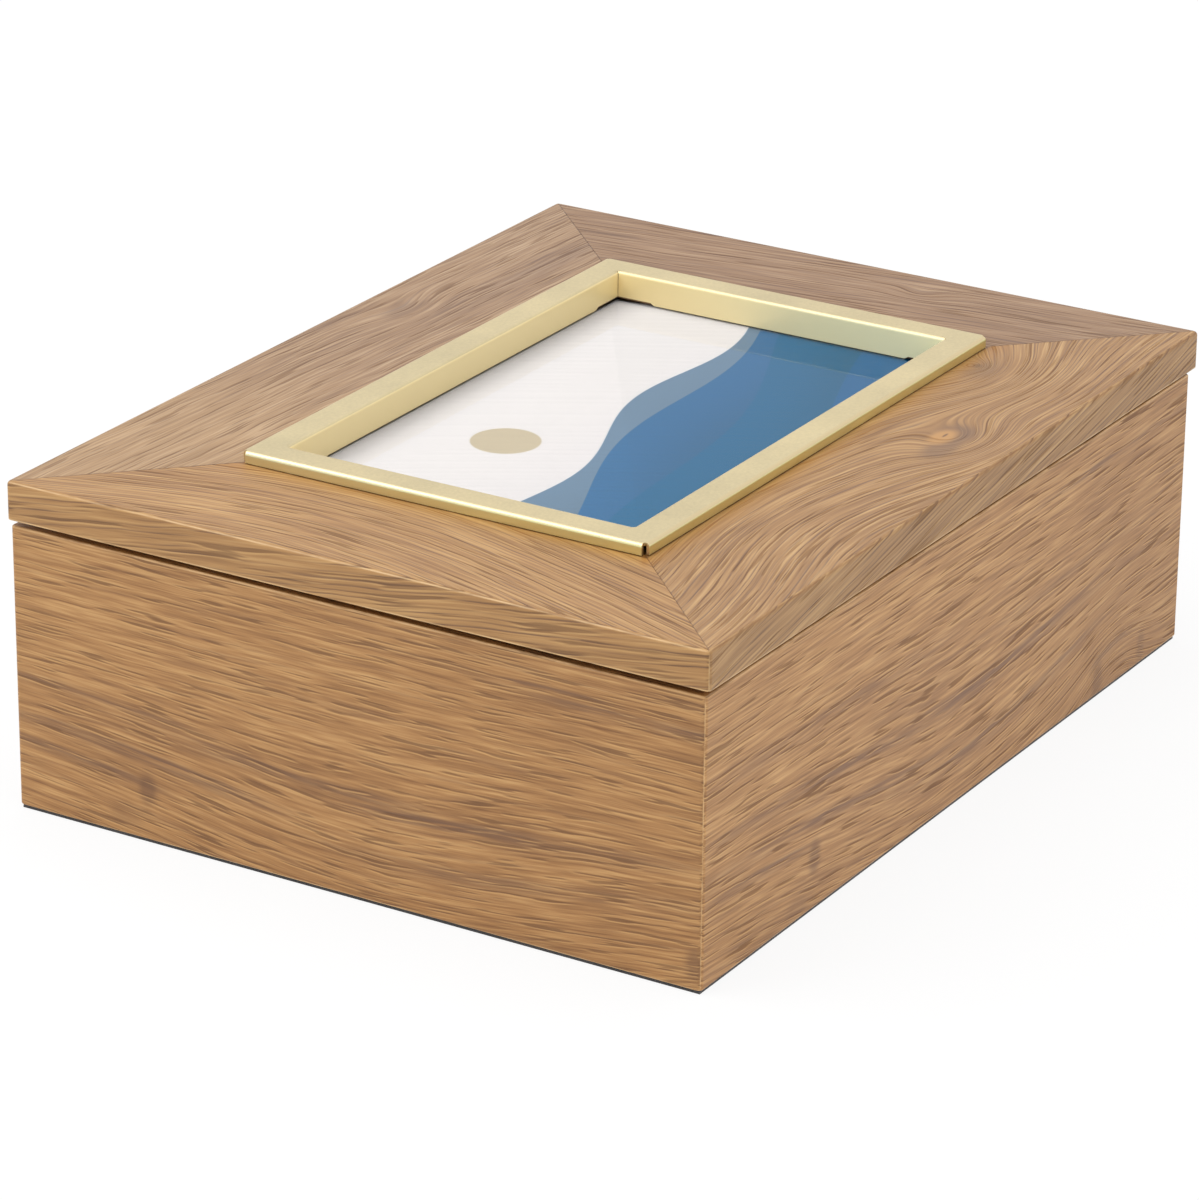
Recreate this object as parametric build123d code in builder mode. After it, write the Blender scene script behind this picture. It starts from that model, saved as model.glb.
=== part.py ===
"""Wooden photo storage box with a mitred, hinged lid that frames a 15 x 10 cm print.

Frame: +X to the right, +Y to the back, +Z up, in millimetres. The origin is the point of
the underside that lies below the middle of the lid.
"""
import os

from build123d import *

# ---------------------------------------------------------------- driving dimensions
# lid
lid_width = 240.0
lid_depth = 186.0
lid_thickness = 9.5
lid_gap = 1.7
side_overhang = 1.0
front_overhang = 1.4
back_overhang = 0.2

# box
wall_height = 70.2
wall_thickness = 10.0
bottom_thickness = 4.0
rabbet_width = 5.0
corner_radius = 1.2
top_arris = 1.0
lower_arris = 0.6

# felts and bumpers
base_felt_thickness = 0.8
base_felt_inset = 0.6
lining_thickness = 1.2
lining_play = 0.3
bumper_radius = 3.0
bumper_edge = 0.55
bumper_from_end = 14.0
bumper_play = 0.05

# metal surround of the picture
window_length = 147.0
window_width = 92.6
flange_width = 8.1
flange_rise = 3.0
sheet = 0.8
outer_bend = 1.0
inner_bend = 0.7
window_corner = 2.0
skirt_lift = 0.15
surround_reach = 7.3
corner_cut_length = 10.0
corner_cut_height = 0.6
corner_slit = 0.4
corner_slit_reach = 1.6
surround_play = 0.1

# glass, print and backing board
print_length = 152.0
print_width = 102.0
print_thickness = 0.3
glass_thickness = 1.2
glass_chamfer = 0.25
glass_below_surround = 0.1
board_thickness = 3.5
pocket_play = 0.5

# hinges, whose heels stop the lid
open_angle = 100.0
stop_play_angle = 0.6
hinge_spacing = 140.0
knuckle_length = 8.0
heel_length = 4.0
heel_radius = 3.4
leaf_thickness = 1.0
leaf_gap = 0.4
leaf_front_margin = 1.2
barrel_radius = 2.1
barrel_play = 0.3
pin_radius = 0.9
pin_fit = 0.05
pin_head_radius = 1.5
pin_head_height = 0.6
knuckle_side_play = 0.1
mortise_play = 0.2

# countersunk hinge screws
hinge_screw_spacing = 18.0
hinge_screw_head = 1.9
hinge_screw_shank = 1.0
wall_screw_length = 10.0
lid_screw_length = 6.5
screw_fit = 0.05
screw_slot = 0.4

# turn buttons that hold the backing board
button_length = 18.0
button_width = 8.0
button_thickness = 1.0
button_edge = 0.33
button_lap = 3.5
button_spacing = 84.0
button_play = 0.05
button_screw_head = 2.4
button_screw_head_height = 1.1
button_screw_shank = 1.25
button_screw_length = 7.0

# ---------------------------------------------------------------- sizes that follow
box_width = lid_width - 2 * side_overhang
box_depth = lid_depth - front_overhang - back_overhang
box_front = -lid_depth / 2 + front_overhang
box_back = lid_depth / 2 - back_overhang
box_middle = (box_front + box_back) / 2
inside_width = box_width - 2 * wall_thickness
inside_depth = box_depth - 2 * wall_thickness

wall_base = base_felt_thickness
wall_top = wall_base + wall_height
bottom_top = wall_base + bottom_thickness
lid_underside = wall_top + lid_gap
lid_top = lid_underside + lid_thickness

flange_top = lid_top + flange_rise
surround_foot = flange_top - surround_reach
surround_length = window_length + 2 * flange_width
surround_width = window_width + 2 * flange_width
lid_window_length = window_length + 2 * (sheet + surround_play)
lid_window_width = window_width + 2 * (sheet + surround_play)

glass_top = surround_foot - glass_below_surround
glass_base = glass_top - glass_thickness
print_base = glass_base - print_thickness
board_base = print_base - board_thickness
pocket_length = print_length + 2 * pocket_play
pocket_width = print_width + 2 * pocket_play

hinge_axis_y = lid_depth / 2 + barrel_radius + barrel_play
hinge_axis_z = (wall_top + lid_underside) / 2
hinge_length = 3 * knuckle_length + 2 * heel_length
leaf_front = box_back - wall_thickness + leaf_front_margin
hinge_screw_y = box_back - wall_thickness / 2
mortise_depth = leaf_gap / 2 + leaf_thickness - lid_gap / 2
stop_angle = (open_angle + stop_play_angle) / 2
hinge_centres = [-hinge_spacing / 2, hinge_spacing / 2]
hinge_screw_places = [
    (centre_x + offset, hinge_screw_y)
    for centre_x in hinge_centres
    for offset in [-hinge_screw_spacing / 2, hinge_screw_spacing / 2]
]

button_pivot_y = pocket_width / 2 - button_lap + button_length / 2
button_top = lid_underside - button_play
button_base = button_top - button_thickness
button_places = {
    "front_left": (-button_spacing / 2, -button_pivot_y),
    "front_right": (button_spacing / 2, -button_pivot_y),
    "back_left": (-button_spacing / 2, button_pivot_y),
    "back_right": (button_spacing / 2, button_pivot_y),
}

os.makedirs("parts", exist_ok=True)


def write(piece, label):
    """Labels a finished piece and writes it under that name."""
    piece.part.label = label
    export_step(piece.part, f"parts/{label}.step")


# ---------------------------------------------------------------- mitred frames
def mitred_plan(side, outer, inner, middle_y, level):
    """Plan of one member of a mitred frame, between the outer and the inner rectangle."""
    left, right = -outer[0] / 2, outer[0] / 2
    front, back = middle_y - outer[1] / 2, middle_y + outer[1] / 2
    in_left, in_right = -inner[0] / 2, inner[0] / 2
    in_front, in_back = middle_y - inner[1] / 2, middle_y + inner[1] / 2
    corners = {
        "front": [(left, front), (right, front), (in_right, in_front), (in_left, in_front)],
        "back": [(right, back), (left, back), (in_left, in_back), (in_right, in_back)],
        "left": [(left, back), (left, front), (in_left, in_front), (in_left, in_back)],
        "right": [(right, front), (right, back), (in_right, in_back), (in_right, in_front)],
    }
    with BuildSketch(Plane.XY.offset(level)) as plan:
        with BuildLine():
            Polyline(*corners[side], close=True)
        make_face()
    return plan.sketch


def rounded_plan(size, middle_y, level):
    """Plan of a rectangle with the small corner radius of all the woodwork."""
    with BuildSketch(Plane.XY.offset(level)) as plan:
        with Locations((0, middle_y)):
            RectangleRounded(size[0], size[1], corner_radius)
    return plan.sketch


def hinge_seats(level):
    """Plan of the shallow mortises that both hinges lie in."""
    with BuildSketch(Plane.XY.offset(level)) as plan:
        with Locations(*[(centre_x, leaf_front - mortise_play) for centre_x in hinge_centres]):
            Rectangle(
                hinge_length + 2 * mortise_play,
                wall_thickness + mortise_play,
                align=(Align.CENTER, Align.MIN),
            )
    return plan.sketch


def round_holes(places, radius, level):
    """Plan of equal round holes or shanks at the given places."""
    with BuildSketch(Plane.XY.offset(level)) as plan:
        with Locations(*places):
            Circle(radius)
    return plan.sketch


# ---------------------------------------------------------------- box walls
box_plan = (box_width, box_depth)
inside_plan = (inside_width, inside_depth)
panel_length = inside_width + 2 * rabbet_width
panel_width = inside_depth + 2 * rabbet_width

for side in ["front", "back", "left", "right"]:
    with BuildPart() as wall:
        extrude(rounded_plan(box_plan, box_middle, wall_base), amount=wall_height)
        fillet(wall.edges().group_by(Axis.Z)[-1], top_arris)
        fillet(wall.edges().group_by(Axis.Z)[0], lower_arris)
        member = mitred_plan(side, box_plan, inside_plan, box_middle, wall_base)
        extrude(member, amount=wall_height, mode=Mode.INTERSECT)
        with Locations((0, box_middle, wall_base)):
            Box(
                panel_length,
                panel_width,
                bottom_thickness,
                align=(Align.CENTER, Align.CENTER, Align.MIN),
                mode=Mode.SUBTRACT,
            )
        if side == "back":
            extrude(hinge_seats(wall_top), amount=-mortise_depth, mode=Mode.SUBTRACT)
            pilots = round_holes(hinge_screw_places, hinge_screw_shank + screw_fit, wall_top)
            extrude(pilots, amount=-(wall_screw_length + screw_fit), mode=Mode.SUBTRACT)
    write(wall, f"{side}_wall")

# ---------------------------------------------------------------- bottom, lining and felt
with BuildPart() as bottom_panel:
    with BuildSketch(Plane.XY.offset(wall_base)):
        with Locations((0, box_middle)):
            Rectangle(panel_length, panel_width)
    extrude(amount=bottom_thickness)
write(bottom_panel, "bottom_panel")

with BuildPart() as floor_lining:
    with BuildSketch(Plane.XY.offset(bottom_top)):
        with Locations((0, box_middle)):
            Rectangle(inside_width - 2 * lining_play, inside_depth - 2 * lining_play)
    extrude(amount=lining_thickness)
write(floor_lining, "floor_lining")

felt_plan = (box_width - 2 * base_felt_inset, box_depth - 2 * base_felt_inset)
with BuildPart() as base_felt:
    extrude(rounded_plan(felt_plan, box_middle, 0), amount=base_felt_thickness)
write(base_felt, "base_felt")

# bumpers on the rim, near both front corners, that the closed lid rests on
with BuildPart() as lid_bumpers:
    with BuildSketch(Plane.XY.offset(wall_top)):
        bumper_y = box_front + wall_thickness / 2
        bumper_x = box_width / 2 - bumper_from_end
        with Locations((-bumper_x, bumper_y), (bumper_x, bumper_y)):
            Circle(bumper_radius)
    extrude(amount=lid_gap - bumper_play)
    fillet(lid_bumpers.edges().group_by(Axis.Z)[-1], bumper_edge)
write(lid_bumpers, "lid_bumpers")

# ---------------------------------------------------------------- lid rails
lid_plan = (lid_width, lid_depth)
lid_window_plan = (lid_window_length, lid_window_width)

for side in ["front", "back", "left", "right"]:
    with BuildPart() as rail:
        extrude(rounded_plan(lid_plan, 0, lid_underside), amount=lid_thickness)
        fillet(rail.edges().group_by(Axis.Z)[-1], top_arris)
        fillet(rail.edges().group_by(Axis.Z)[0], lower_arris)
        member = mitred_plan(side, lid_plan, lid_window_plan, 0, lid_underside)
        extrude(member, amount=lid_thickness, mode=Mode.INTERSECT)
        with Locations((0, 0, lid_underside)):
            Box(
                pocket_length,
                pocket_width,
                glass_top - lid_underside,
                align=(Align.CENTER, Align.CENTER, Align.MIN),
                mode=Mode.SUBTRACT,
            )
        if side in ["front", "back"]:
            pivots = [place for name, place in button_places.items() if name.startswith(side)]
            pilots = round_holes(pivots, button_screw_shank + screw_fit, lid_underside)
            extrude(pilots, amount=button_screw_length, mode=Mode.SUBTRACT)
        if side == "back":
            extrude(hinge_seats(lid_underside), amount=mortise_depth, mode=Mode.SUBTRACT)
            pilots = round_holes(hinge_screw_places, hinge_screw_shank + screw_fit, lid_underside)
            extrude(pilots, amount=lid_screw_length + screw_fit, mode=Mode.SUBTRACT)
    write(rail, f"lid_{side}_rail")

# ---------------------------------------------------------------- metal surround
with BuildPart() as picture_surround:
    with BuildSketch(Plane.XY.offset(flange_top)):
        Rectangle(surround_length, surround_width)
        RectangleRounded(window_length, window_width, window_corner, mode=Mode.SUBTRACT)
    extrude(amount=-sheet)
    with BuildSketch(Plane.XY.offset(flange_top - sheet)):
        Rectangle(surround_length, surround_width)
        Rectangle(surround_length - 2 * sheet, surround_width - 2 * sheet, mode=Mode.SUBTRACT)
    extrude(amount=-(flange_rise - sheet - skirt_lift))
    with BuildSketch(Plane.XY.offset(flange_top - sheet)):
        Rectangle(window_length + 2 * sheet, window_width + 2 * sheet)
        Rectangle(window_length, window_width, mode=Mode.SUBTRACT)
    extrude(amount=-(surround_reach - sheet))
    outer_rim = picture_surround.faces().sort_by(Axis.Z)[-1].outer_wire().edges()
    fillet(outer_rim, outer_bend)
    window_rim = picture_surround.faces().sort_by(Axis.Z)[-1].inner_wires()[0].edges()
    fillet(window_rim, inner_bend)
    # the walls end higher near the corners
    with BuildSketch(Plane.XY.offset(surround_foot)):
        for corner_x in [-window_length / 2, window_length / 2]:
            for corner_y in [-window_width / 2, window_width / 2]:
                with Locations((corner_x, corner_y)):
                    Rectangle(2 * corner_cut_length, 2 * corner_cut_length)
    extrude(amount=corner_cut_height, mode=Mode.SUBTRACT)
    # the folded skirts meet at the corners with a slit between them
    for corner_x in [-1, 1]:
        for corner_y in [-1, 1]:
            corner_point = (corner_x * surround_length / 2, corner_y * surround_width / 2, lid_top)
            with Locations(Location(corner_point, (0, 0, 45 * corner_x * corner_y))):
                Box(
                    2 * corner_slit_reach,
                    corner_slit,
                    flange_rise - sheet / 2,
                    align=(Align.CENTER, Align.CENTER, Align.MIN),
                    mode=Mode.SUBTRACT,
                )
write(picture_surround, "picture_surround")

# ---------------------------------------------------------------- glass, print, board
with BuildPart() as glass_pane:
    with BuildSketch(Plane.XY.offset(glass_base)):
        Rectangle(print_length, print_width)
    extrude(amount=glass_thickness)
    chamfer(glass_pane.edges().group_by(Axis.Z)[-1], glass_chamfer)
write(glass_pane, "glass_pane")

with BuildPart() as photo_print:
    with BuildSketch(Plane.XY.offset(print_base)):
        Rectangle(print_length, print_width)
    extrude(amount=print_thickness)
write(photo_print, "photo_print")

with BuildPart() as backing_board:
    with BuildSketch(Plane.XY.offset(board_base)):
        RectangleRounded(print_length, print_width, corner_radius)
    extrude(amount=board_thickness)
write(backing_board, "backing_board")


# ---------------------------------------------------------------- hinges
def span_of(zone):
    """First and last x of a hinge's zone, from its middle: heel, three knuckles, heel."""
    starts = [-hinge_length / 2]
    for length in [heel_length, knuckle_length, knuckle_length, knuckle_length, heel_length]:
        starts.append(starts[-1] + length)
    return starts[zone], starts[zone + 1]


heel_zones = [0, 4]
box_knuckle_zones = [1, 3]
lid_knuckle_zones = [2]


def hinge_leaf(centre_x, up, own_knuckles, notches):
    """One leaf of a stop hinge; up is 1 for the lid's leaf and -1 for the box's."""
    near_face = hinge_axis_z + up * leaf_gap / 2
    far_face = near_face + up * leaf_thickness
    with BuildPart() as leaf:
        with BuildSketch(Plane.YZ.offset(centre_x - hinge_length / 2)):
            with BuildLine():
                Polyline(
                    (leaf_front, near_face),
                    (hinge_axis_y, near_face),
                    (hinge_axis_y, far_face),
                    (leaf_front, far_face),
                    close=True,
                )
            make_face()
        extrude(amount=hinge_length)
        for zone in notches:
            start, end = span_of(zone)
            with BuildSketch(Plane.YZ.offset(centre_x + start - knuckle_side_play)):
                with Locations((hinge_axis_y, hinge_axis_z)):
                    Rectangle(2 * (barrel_radius + barrel_play), 4 * barrel_radius)
            extrude(amount=end - start + 2 * knuckle_side_play, mode=Mode.SUBTRACT)
        for zone in own_knuckles:
            start, end = span_of(zone)
            with BuildSketch(Plane.YZ.offset(centre_x + start)):
                with Locations((hinge_axis_y, hinge_axis_z)):
                    Circle(barrel_radius)
            extrude(amount=end - start)
        # the heel behind the pin, whose slanted face meets the other heel when the lid is open
        slant = Vector(1, 0).rotate(Axis.Z, up * stop_angle) * heel_radius
        heel_front = hinge_axis_y - barrel_radius
        slant_start = hinge_axis_y + leaf_gap / 2 * slant.X / abs(slant.Y)
        for zone in heel_zones:
            start, end = span_of(zone)
            if zone == heel_zones[0]:
                end -= knuckle_side_play
            else:
                start += knuckle_side_play
            with BuildSketch(Plane.YZ.offset(centre_x + start)):
                with BuildLine():
                    Polyline(
                        (heel_front, near_face),
                        (slant_start, near_face),
                        (hinge_axis_y + slant.X, hinge_axis_z + slant.Y),
                        (heel_front, hinge_axis_z + slant.Y),
                        close=True,
                    )
                make_face()
            extrude(amount=end - start)
        with BuildSketch(Plane.YZ.offset(centre_x - hinge_length / 2)):
            with Locations((hinge_axis_y, hinge_axis_z)):
                Circle(pin_radius + pin_fit)
        extrude(amount=hinge_length, mode=Mode.SUBTRACT)
        outward = Plane((centre_x, hinge_screw_y, near_face), x_dir=(1, 0, 0), z_dir=(0, 0, -up))
        with Locations(outward):
            with GridLocations(hinge_screw_spacing, 0, 2, 1):
                CounterSinkHole(
                    hinge_screw_shank + screw_fit,
                    hinge_screw_head + screw_fit,
                    depth=leaf_thickness,
                    counter_sink_angle=90,
                )
    return leaf


def hinge_pin(centre_x):
    """Hinge pin with a domed head at each end."""
    half = hinge_length / 2
    with BuildPart() as pin:
        with BuildSketch(Plane.YZ.offset(centre_x - half)):
            with Locations((hinge_axis_y, hinge_axis_z)):
                Circle(pin_radius)
        extrude(amount=hinge_length)
        for start in [centre_x - half - pin_head_height, centre_x + half]:
            with BuildSketch(Plane.YZ.offset(start)):
                with Locations((hinge_axis_y, hinge_axis_z)):
                    Circle(pin_head_radius)
            extrude(amount=pin_head_height)
        fillet(pin.edges().group_by(Axis.X)[0], pin_head_height / 2)
        fillet(pin.edges().group_by(Axis.X)[-1], pin_head_height / 2)
    return pin


def countersunk_screws(up, length):
    """The four screws of the box leaves (up -1) or of the lid leaves (up 1)."""
    face = hinge_axis_z + up * leaf_gap / 2
    head_height = hinge_screw_head - hinge_screw_shank
    with BuildPart() as screws:
        extrude(round_holes(hinge_screw_places, hinge_screw_head, face), amount=up * head_height, taper=45)
        extrude(round_holes(hinge_screw_places, hinge_screw_shank, face), amount=up * length)
        with BuildSketch(Plane.XY.offset(face)):
            with Locations(*hinge_screw_places):
                Rectangle(2 * hinge_screw_head, screw_slot)
        extrude(amount=up * screw_slot, mode=Mode.SUBTRACT)
    return screws


for hinge_name, centre_x in zip(["left", "right"], hinge_centres):
    box_leaf = hinge_leaf(centre_x, -1, box_knuckle_zones, lid_knuckle_zones)
    write(box_leaf, f"{hinge_name}_hinge_box_leaf")
    lid_leaf = hinge_leaf(centre_x, 1, lid_knuckle_zones, box_knuckle_zones)
    write(lid_leaf, f"{hinge_name}_hinge_lid_leaf")
    write(hinge_pin(centre_x), f"{hinge_name}_hinge_pin")
write(countersunk_screws(-1, wall_screw_length), "box_leaf_screws")
write(countersunk_screws(1, lid_screw_length), "lid_leaf_screws")

# ---------------------------------------------------------------- turn buttons
for place_name, place in button_places.items():
    with BuildPart() as turn_button:
        with BuildSketch(Plane.XY.offset(button_base)):
            with Locations(place):
                SlotOverall(button_length, button_width, rotation=90)
        extrude(amount=button_thickness)
        fillet(turn_button.edges().group_by(Axis.Z)[0], button_edge)
        hole = round_holes([place], button_screw_shank + screw_fit, button_base)
        extrude(hole, amount=button_thickness, mode=Mode.SUBTRACT)
    write(turn_button, f"{place_name}_turn_button")

button_screw_seat = button_base - button_play
with BuildPart() as turn_button_screws:
    heads = round_holes(button_places.values(), button_screw_head, button_screw_seat)
    extrude(heads, amount=-button_screw_head_height)
    fillet(turn_button_screws.edges().group_by(Axis.Z)[0], button_screw_head_height / 2)
    shanks = round_holes(button_places.values(), button_screw_shank, button_screw_seat)
    extrude(shanks, amount=button_screw_length)
    with BuildSketch(Plane.XY.offset(button_screw_seat - button_screw_head_height)):
        with Locations(*button_places.values()):
            Rectangle(2 * button_screw_head, screw_slot)
    extrude(amount=screw_slot, mode=Mode.SUBTRACT)
write(turn_button_screws, "turn_button_screws")
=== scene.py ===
"""Looks of a wooden photo storage box whose mitred lid frames a small print in a metal surround.

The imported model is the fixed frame. Sizes come from it or from the fields of each sub-assembly,
in metres unless a name says millimetres. The front of the box faces -Y and its hinges are at +Y.
"""

import logging
import math
from collections.abc import Callable, Iterator, Sequence
from contextlib import contextmanager
from dataclasses import dataclass
from enum import Enum
from functools import partial, reduce
from typing import NamedTuple

import bmesh
import bpy
from mathutils import Matrix, Vector


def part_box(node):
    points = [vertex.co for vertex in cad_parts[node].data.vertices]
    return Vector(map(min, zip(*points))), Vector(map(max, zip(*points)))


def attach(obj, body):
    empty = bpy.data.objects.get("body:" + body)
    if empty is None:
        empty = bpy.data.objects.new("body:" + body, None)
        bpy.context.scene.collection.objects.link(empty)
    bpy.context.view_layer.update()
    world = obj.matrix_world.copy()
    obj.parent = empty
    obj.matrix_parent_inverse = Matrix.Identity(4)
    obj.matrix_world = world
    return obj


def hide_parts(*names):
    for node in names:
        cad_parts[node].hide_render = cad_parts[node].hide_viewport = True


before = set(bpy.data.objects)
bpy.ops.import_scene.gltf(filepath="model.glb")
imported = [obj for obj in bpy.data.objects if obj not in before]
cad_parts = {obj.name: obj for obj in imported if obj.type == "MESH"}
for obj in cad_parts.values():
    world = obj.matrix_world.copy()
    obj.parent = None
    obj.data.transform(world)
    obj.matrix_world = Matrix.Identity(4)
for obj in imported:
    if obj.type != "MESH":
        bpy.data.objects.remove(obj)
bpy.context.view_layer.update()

log = logging.getLogger("photo_box")

MM = 0.001
TOUCH = 1e-5
WELD = TOUCH / 5
SAW_TOLERANCE = TOUCH / 10
STRAIGHT = 0.999
BRIGHTEST = 255.0
UP = Vector((0, 0, 1))
WHITE = (1, 1, 1, 1)
HINGES = ("left", "right")

Element = bmesh.types.BMVert | bmesh.types.BMEdge | bmesh.types.BMFace
Test = Callable[[Element], bool]
Corners = tuple[Vector, Vector]
Pair = tuple[float, float]
Triple = tuple[float, float, float]
Colour = Triple
Socket = bpy.types.NodeSocket
Sockets = dict[str, Socket]
Value = Socket | float | Sequence[float]
Values = dict[str, Value]


# ---------------------------------------------------------------- the bench
class Pick(Enum):
    """What a selection is made of."""

    VERTICES = "VERT"
    EDGES = "EDGE"
    FACES = "FACE"


class Side(Enum):
    """One side of a rectangular frame, with its outward direction."""

    FRONT = (0, -1, 0)
    BACK = (0, 1, 0)
    LEFT = (-1, 0, 0)
    RIGHT = (1, 0, 0)

    @property
    def outward(self) -> Vector:
        """Direction from the frame's middle to this side."""
        return Vector(self.value)

    @property
    def along(self) -> Vector:
        """Direction in which this side runs, always positive."""
        return Vector([abs(part) for part in UP.cross(self.outward)])


def points_of(element: Element) -> list[Vector]:
    """Places of a vertex, or of the vertices of an edge or face."""
    return [element.co] if isinstance(element, bmesh.types.BMVert) else [v.co for v in element.verts]


def on_plane(point: Vector, normal: Vector) -> Test:
    """Test for what lies in the plane through a point."""
    return lambda element: all(abs((p - point).dot(normal)) < TOUCH for p in points_of(element))


def beyond(point: Vector, normal: Vector) -> Test:
    """Test for what lies wholly past the plane, on the side its normal points to."""
    return lambda element: all((p - point).dot(normal) > -TOUCH for p in points_of(element))


def both(first: Test, second: Test) -> Test:
    """Test that two tests pass."""
    return lambda element: first(element) and second(element)


def is_upright(edge: bmesh.types.BMEdge) -> bool:
    """True for an edge that stands straight up."""
    return abs((edge.verts[0].co - edge.verts[1].co).normalized().z) > STRAIGHT


def is_level(face: bmesh.types.BMFace) -> bool:
    """True for a face that looks straight up or down."""
    return abs(face.normal.z) > STRAIGHT


class Workpiece:
    """A mesh on the bench: a primitive that edit-mode operators shape."""

    flat_weight = 90

    def __init__(self, body: bpy.types.Object) -> None:
        """Takes an object whose place is in its mesh."""
        self.body = body

    @classmethod
    def block(cls, name: str, low: Vector, high: Vector) -> "Workpiece":
        """Starts a piece as a block between two corners.

        Args:
            name: name of the object and its mesh
            low: lowest corner
            high: highest corner

        Returns:
            The piece, unshaped.
        """
        bpy.ops.object.select_all(action="DESELECT")
        bpy.ops.mesh.primitive_cube_add(size=1.0, location=(low + high) / 2)
        return cls._settled(name, high - low)

    @classmethod
    def panel(cls, name: str, middle: Vector, length: float, width: float) -> "Workpiece":
        """Starts a piece as a level rectangle.

        Args:
            name: name of the object and its mesh
            middle: its centre
            length: size along X
            width: size along Y

        Returns:
            The piece, unshaped.
        """
        bpy.ops.object.select_all(action="DESELECT")
        bpy.ops.mesh.primitive_plane_add(size=1.0, location=middle)
        return cls._settled(name, Vector((length, width, 1)))

    @classmethod
    def _settled(cls, name: str, size: Vector) -> "Workpiece":
        """Sizes the active primitive, names it and applies its place to its mesh.

        Args:
            name: name of the object and its mesh
            size: its size along each axis

        Returns:
            The piece, unshaped.
        """
        made = bpy.context.object
        made.name = made.data.name = name
        made.scale = size
        bpy.ops.object.transform_apply(location=True, rotation=True, scale=True)
        return cls(made)

    def copy(self, name: str) -> "Workpiece":
        """Makes a copy with a mesh of its own.

        Args:
            name: name of the copy and its mesh

        Returns:
            The copy.
        """
        twin = self.body.copy()
        twin.data = self.body.data.copy()
        twin.name = twin.data.name = name
        bpy.context.scene.collection.objects.link(twin)
        return Workpiece(twin)

    def discard(self) -> None:
        """Removes the piece and its mesh."""
        mesh = self.body.data
        bpy.data.objects.remove(self.body)
        bpy.data.meshes.remove(mesh)

    def activate(self) -> None:
        """Makes this the only selected object."""
        bpy.ops.object.select_all(action="DESELECT")
        self.body.select_set(True)
        bpy.context.view_layer.objects.active = self.body

    @contextmanager
    def editing(self) -> Iterator[None]:
        """Holds the piece in edit mode, starting with everything selected."""
        self.activate()
        bpy.ops.object.mode_set(mode="EDIT")
        bpy.ops.mesh.select_mode(type=Pick.FACES.value)
        bpy.ops.mesh.select_all(action="SELECT")
        yield
        bpy.ops.object.mode_set(mode="OBJECT")

    def pick(self, kind: Pick, test: Test) -> int:
        """Selects only what passes a test, in edit mode.

        Args:
            kind: vertices, edges or faces
            test: what each of them has to pass

        Returns:
            How many were selected.
        """
        bpy.ops.mesh.select_mode(type=kind.value)
        bpy.ops.mesh.select_all(action="DESELECT")
        mesh = bmesh.from_edit_mesh(self.body.data)
        stock = {Pick.VERTICES: mesh.verts, Pick.EDGES: mesh.edges, Pick.FACES: mesh.faces}[kind]
        chosen = [element for element in stock if test(element)]
        for element in chosen:
            element.select_set(True)
        mesh.select_flush_mode()
        bmesh.update_edit_mesh(self.body.data)
        return len(chosen)

    def saw(self, point: Vector, normal: Vector, drop: bool = True) -> None:
        """Cuts the selected faces along a plane, and caps the cut where a side is dropped.

        Args:
            point: a point of the plane
            normal: its normal, towards the side that is dropped
            drop: whether that side goes
        """
        bpy.ops.mesh.bisect(
            plane_co=point, plane_no=normal, clear_outer=drop, use_fill=drop, threshold=SAW_TOLERANCE
        )

    def extrude(self, shift: Vector) -> None:
        """Extrudes what is selected by a shift."""
        bpy.ops.mesh.extrude_region_move(TRANSFORM_OT_translate={"value": shift})

    def round_edges(self, radius: float, steps: int) -> None:
        """Rounds the selected edges."""
        bpy.ops.mesh.bevel(offset=radius, segments=steps, affect="EDGES", clamp_overlap=False)

    def round_corners(self, radius: float, steps: int) -> None:
        """Rounds the selected corners of a flat outline."""
        bpy.ops.mesh.bevel(offset=radius, segments=steps, affect="VERTICES", clamp_overlap=False)

    def soften(self, angle: float, width: float, steps: int = 2) -> None:
        """Breaks every edge sharper than an angle, with a bevel that is applied.

        Args:
            angle: edges that turn by more than this many degrees are broken
            width: how far the break reaches on each side
            steps: facets of the break
        """
        self.activate()
        bevel = self.body.modifiers.new("broken_edges", "BEVEL")
        bevel.width = width
        bevel.segments = steps
        bevel.limit_method = "ANGLE"
        bevel.angle_limit = math.radians(angle)
        bevel.use_clamp_overlap = True
        bpy.ops.object.modifier_apply(modifier=bevel.name)

    def carve(self, cutter: "Workpiece") -> None:
        """Takes a cutter's shape out of the piece, and the cutter off the bench.

        Args:
            cutter: the cutter, which is used up
        """
        self.activate()
        boolean = self.body.modifiers.new("cut", "BOOLEAN")
        boolean.object = cutter.body
        boolean.solver = "EXACT"
        bpy.ops.object.modifier_apply(modifier=boolean.name)
        cutter.discard()

    def smooth(self, angle: float = 32.0) -> None:
        """Shades the piece smooth, with its large faces kept flat.

        Args:
            angle: edges that turn by more than this many degrees stay sharp
        """
        self.activate()
        bpy.ops.object.shade_smooth_by_angle(angle=math.radians(angle))
        weighted = self.body.modifiers.new("flat_faces", "WEIGHTED_NORMAL")
        weighted.keep_sharp = True
        weighted.weight = self.flat_weight
        bpy.ops.object.modifier_apply(modifier=weighted.name)

    def install(self, body: str, slot: str, material: bpy.types.Material, *nodes: str) -> None:
        """Dresses the piece and puts it in the frame.

        Args:
            body: CAD body that it rides on
            slot: the record's material slot, which is not used
            material: its material
            nodes: CAD nodes that it stands for
        """
        self.body.data.materials.clear()
        self.body.data.materials.append(material)
        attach(self.body, body)
        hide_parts(*nodes)
        log.info("%s: %d faces, stands for %s", self.body.name, len(self.body.data.polygons), nodes)


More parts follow.
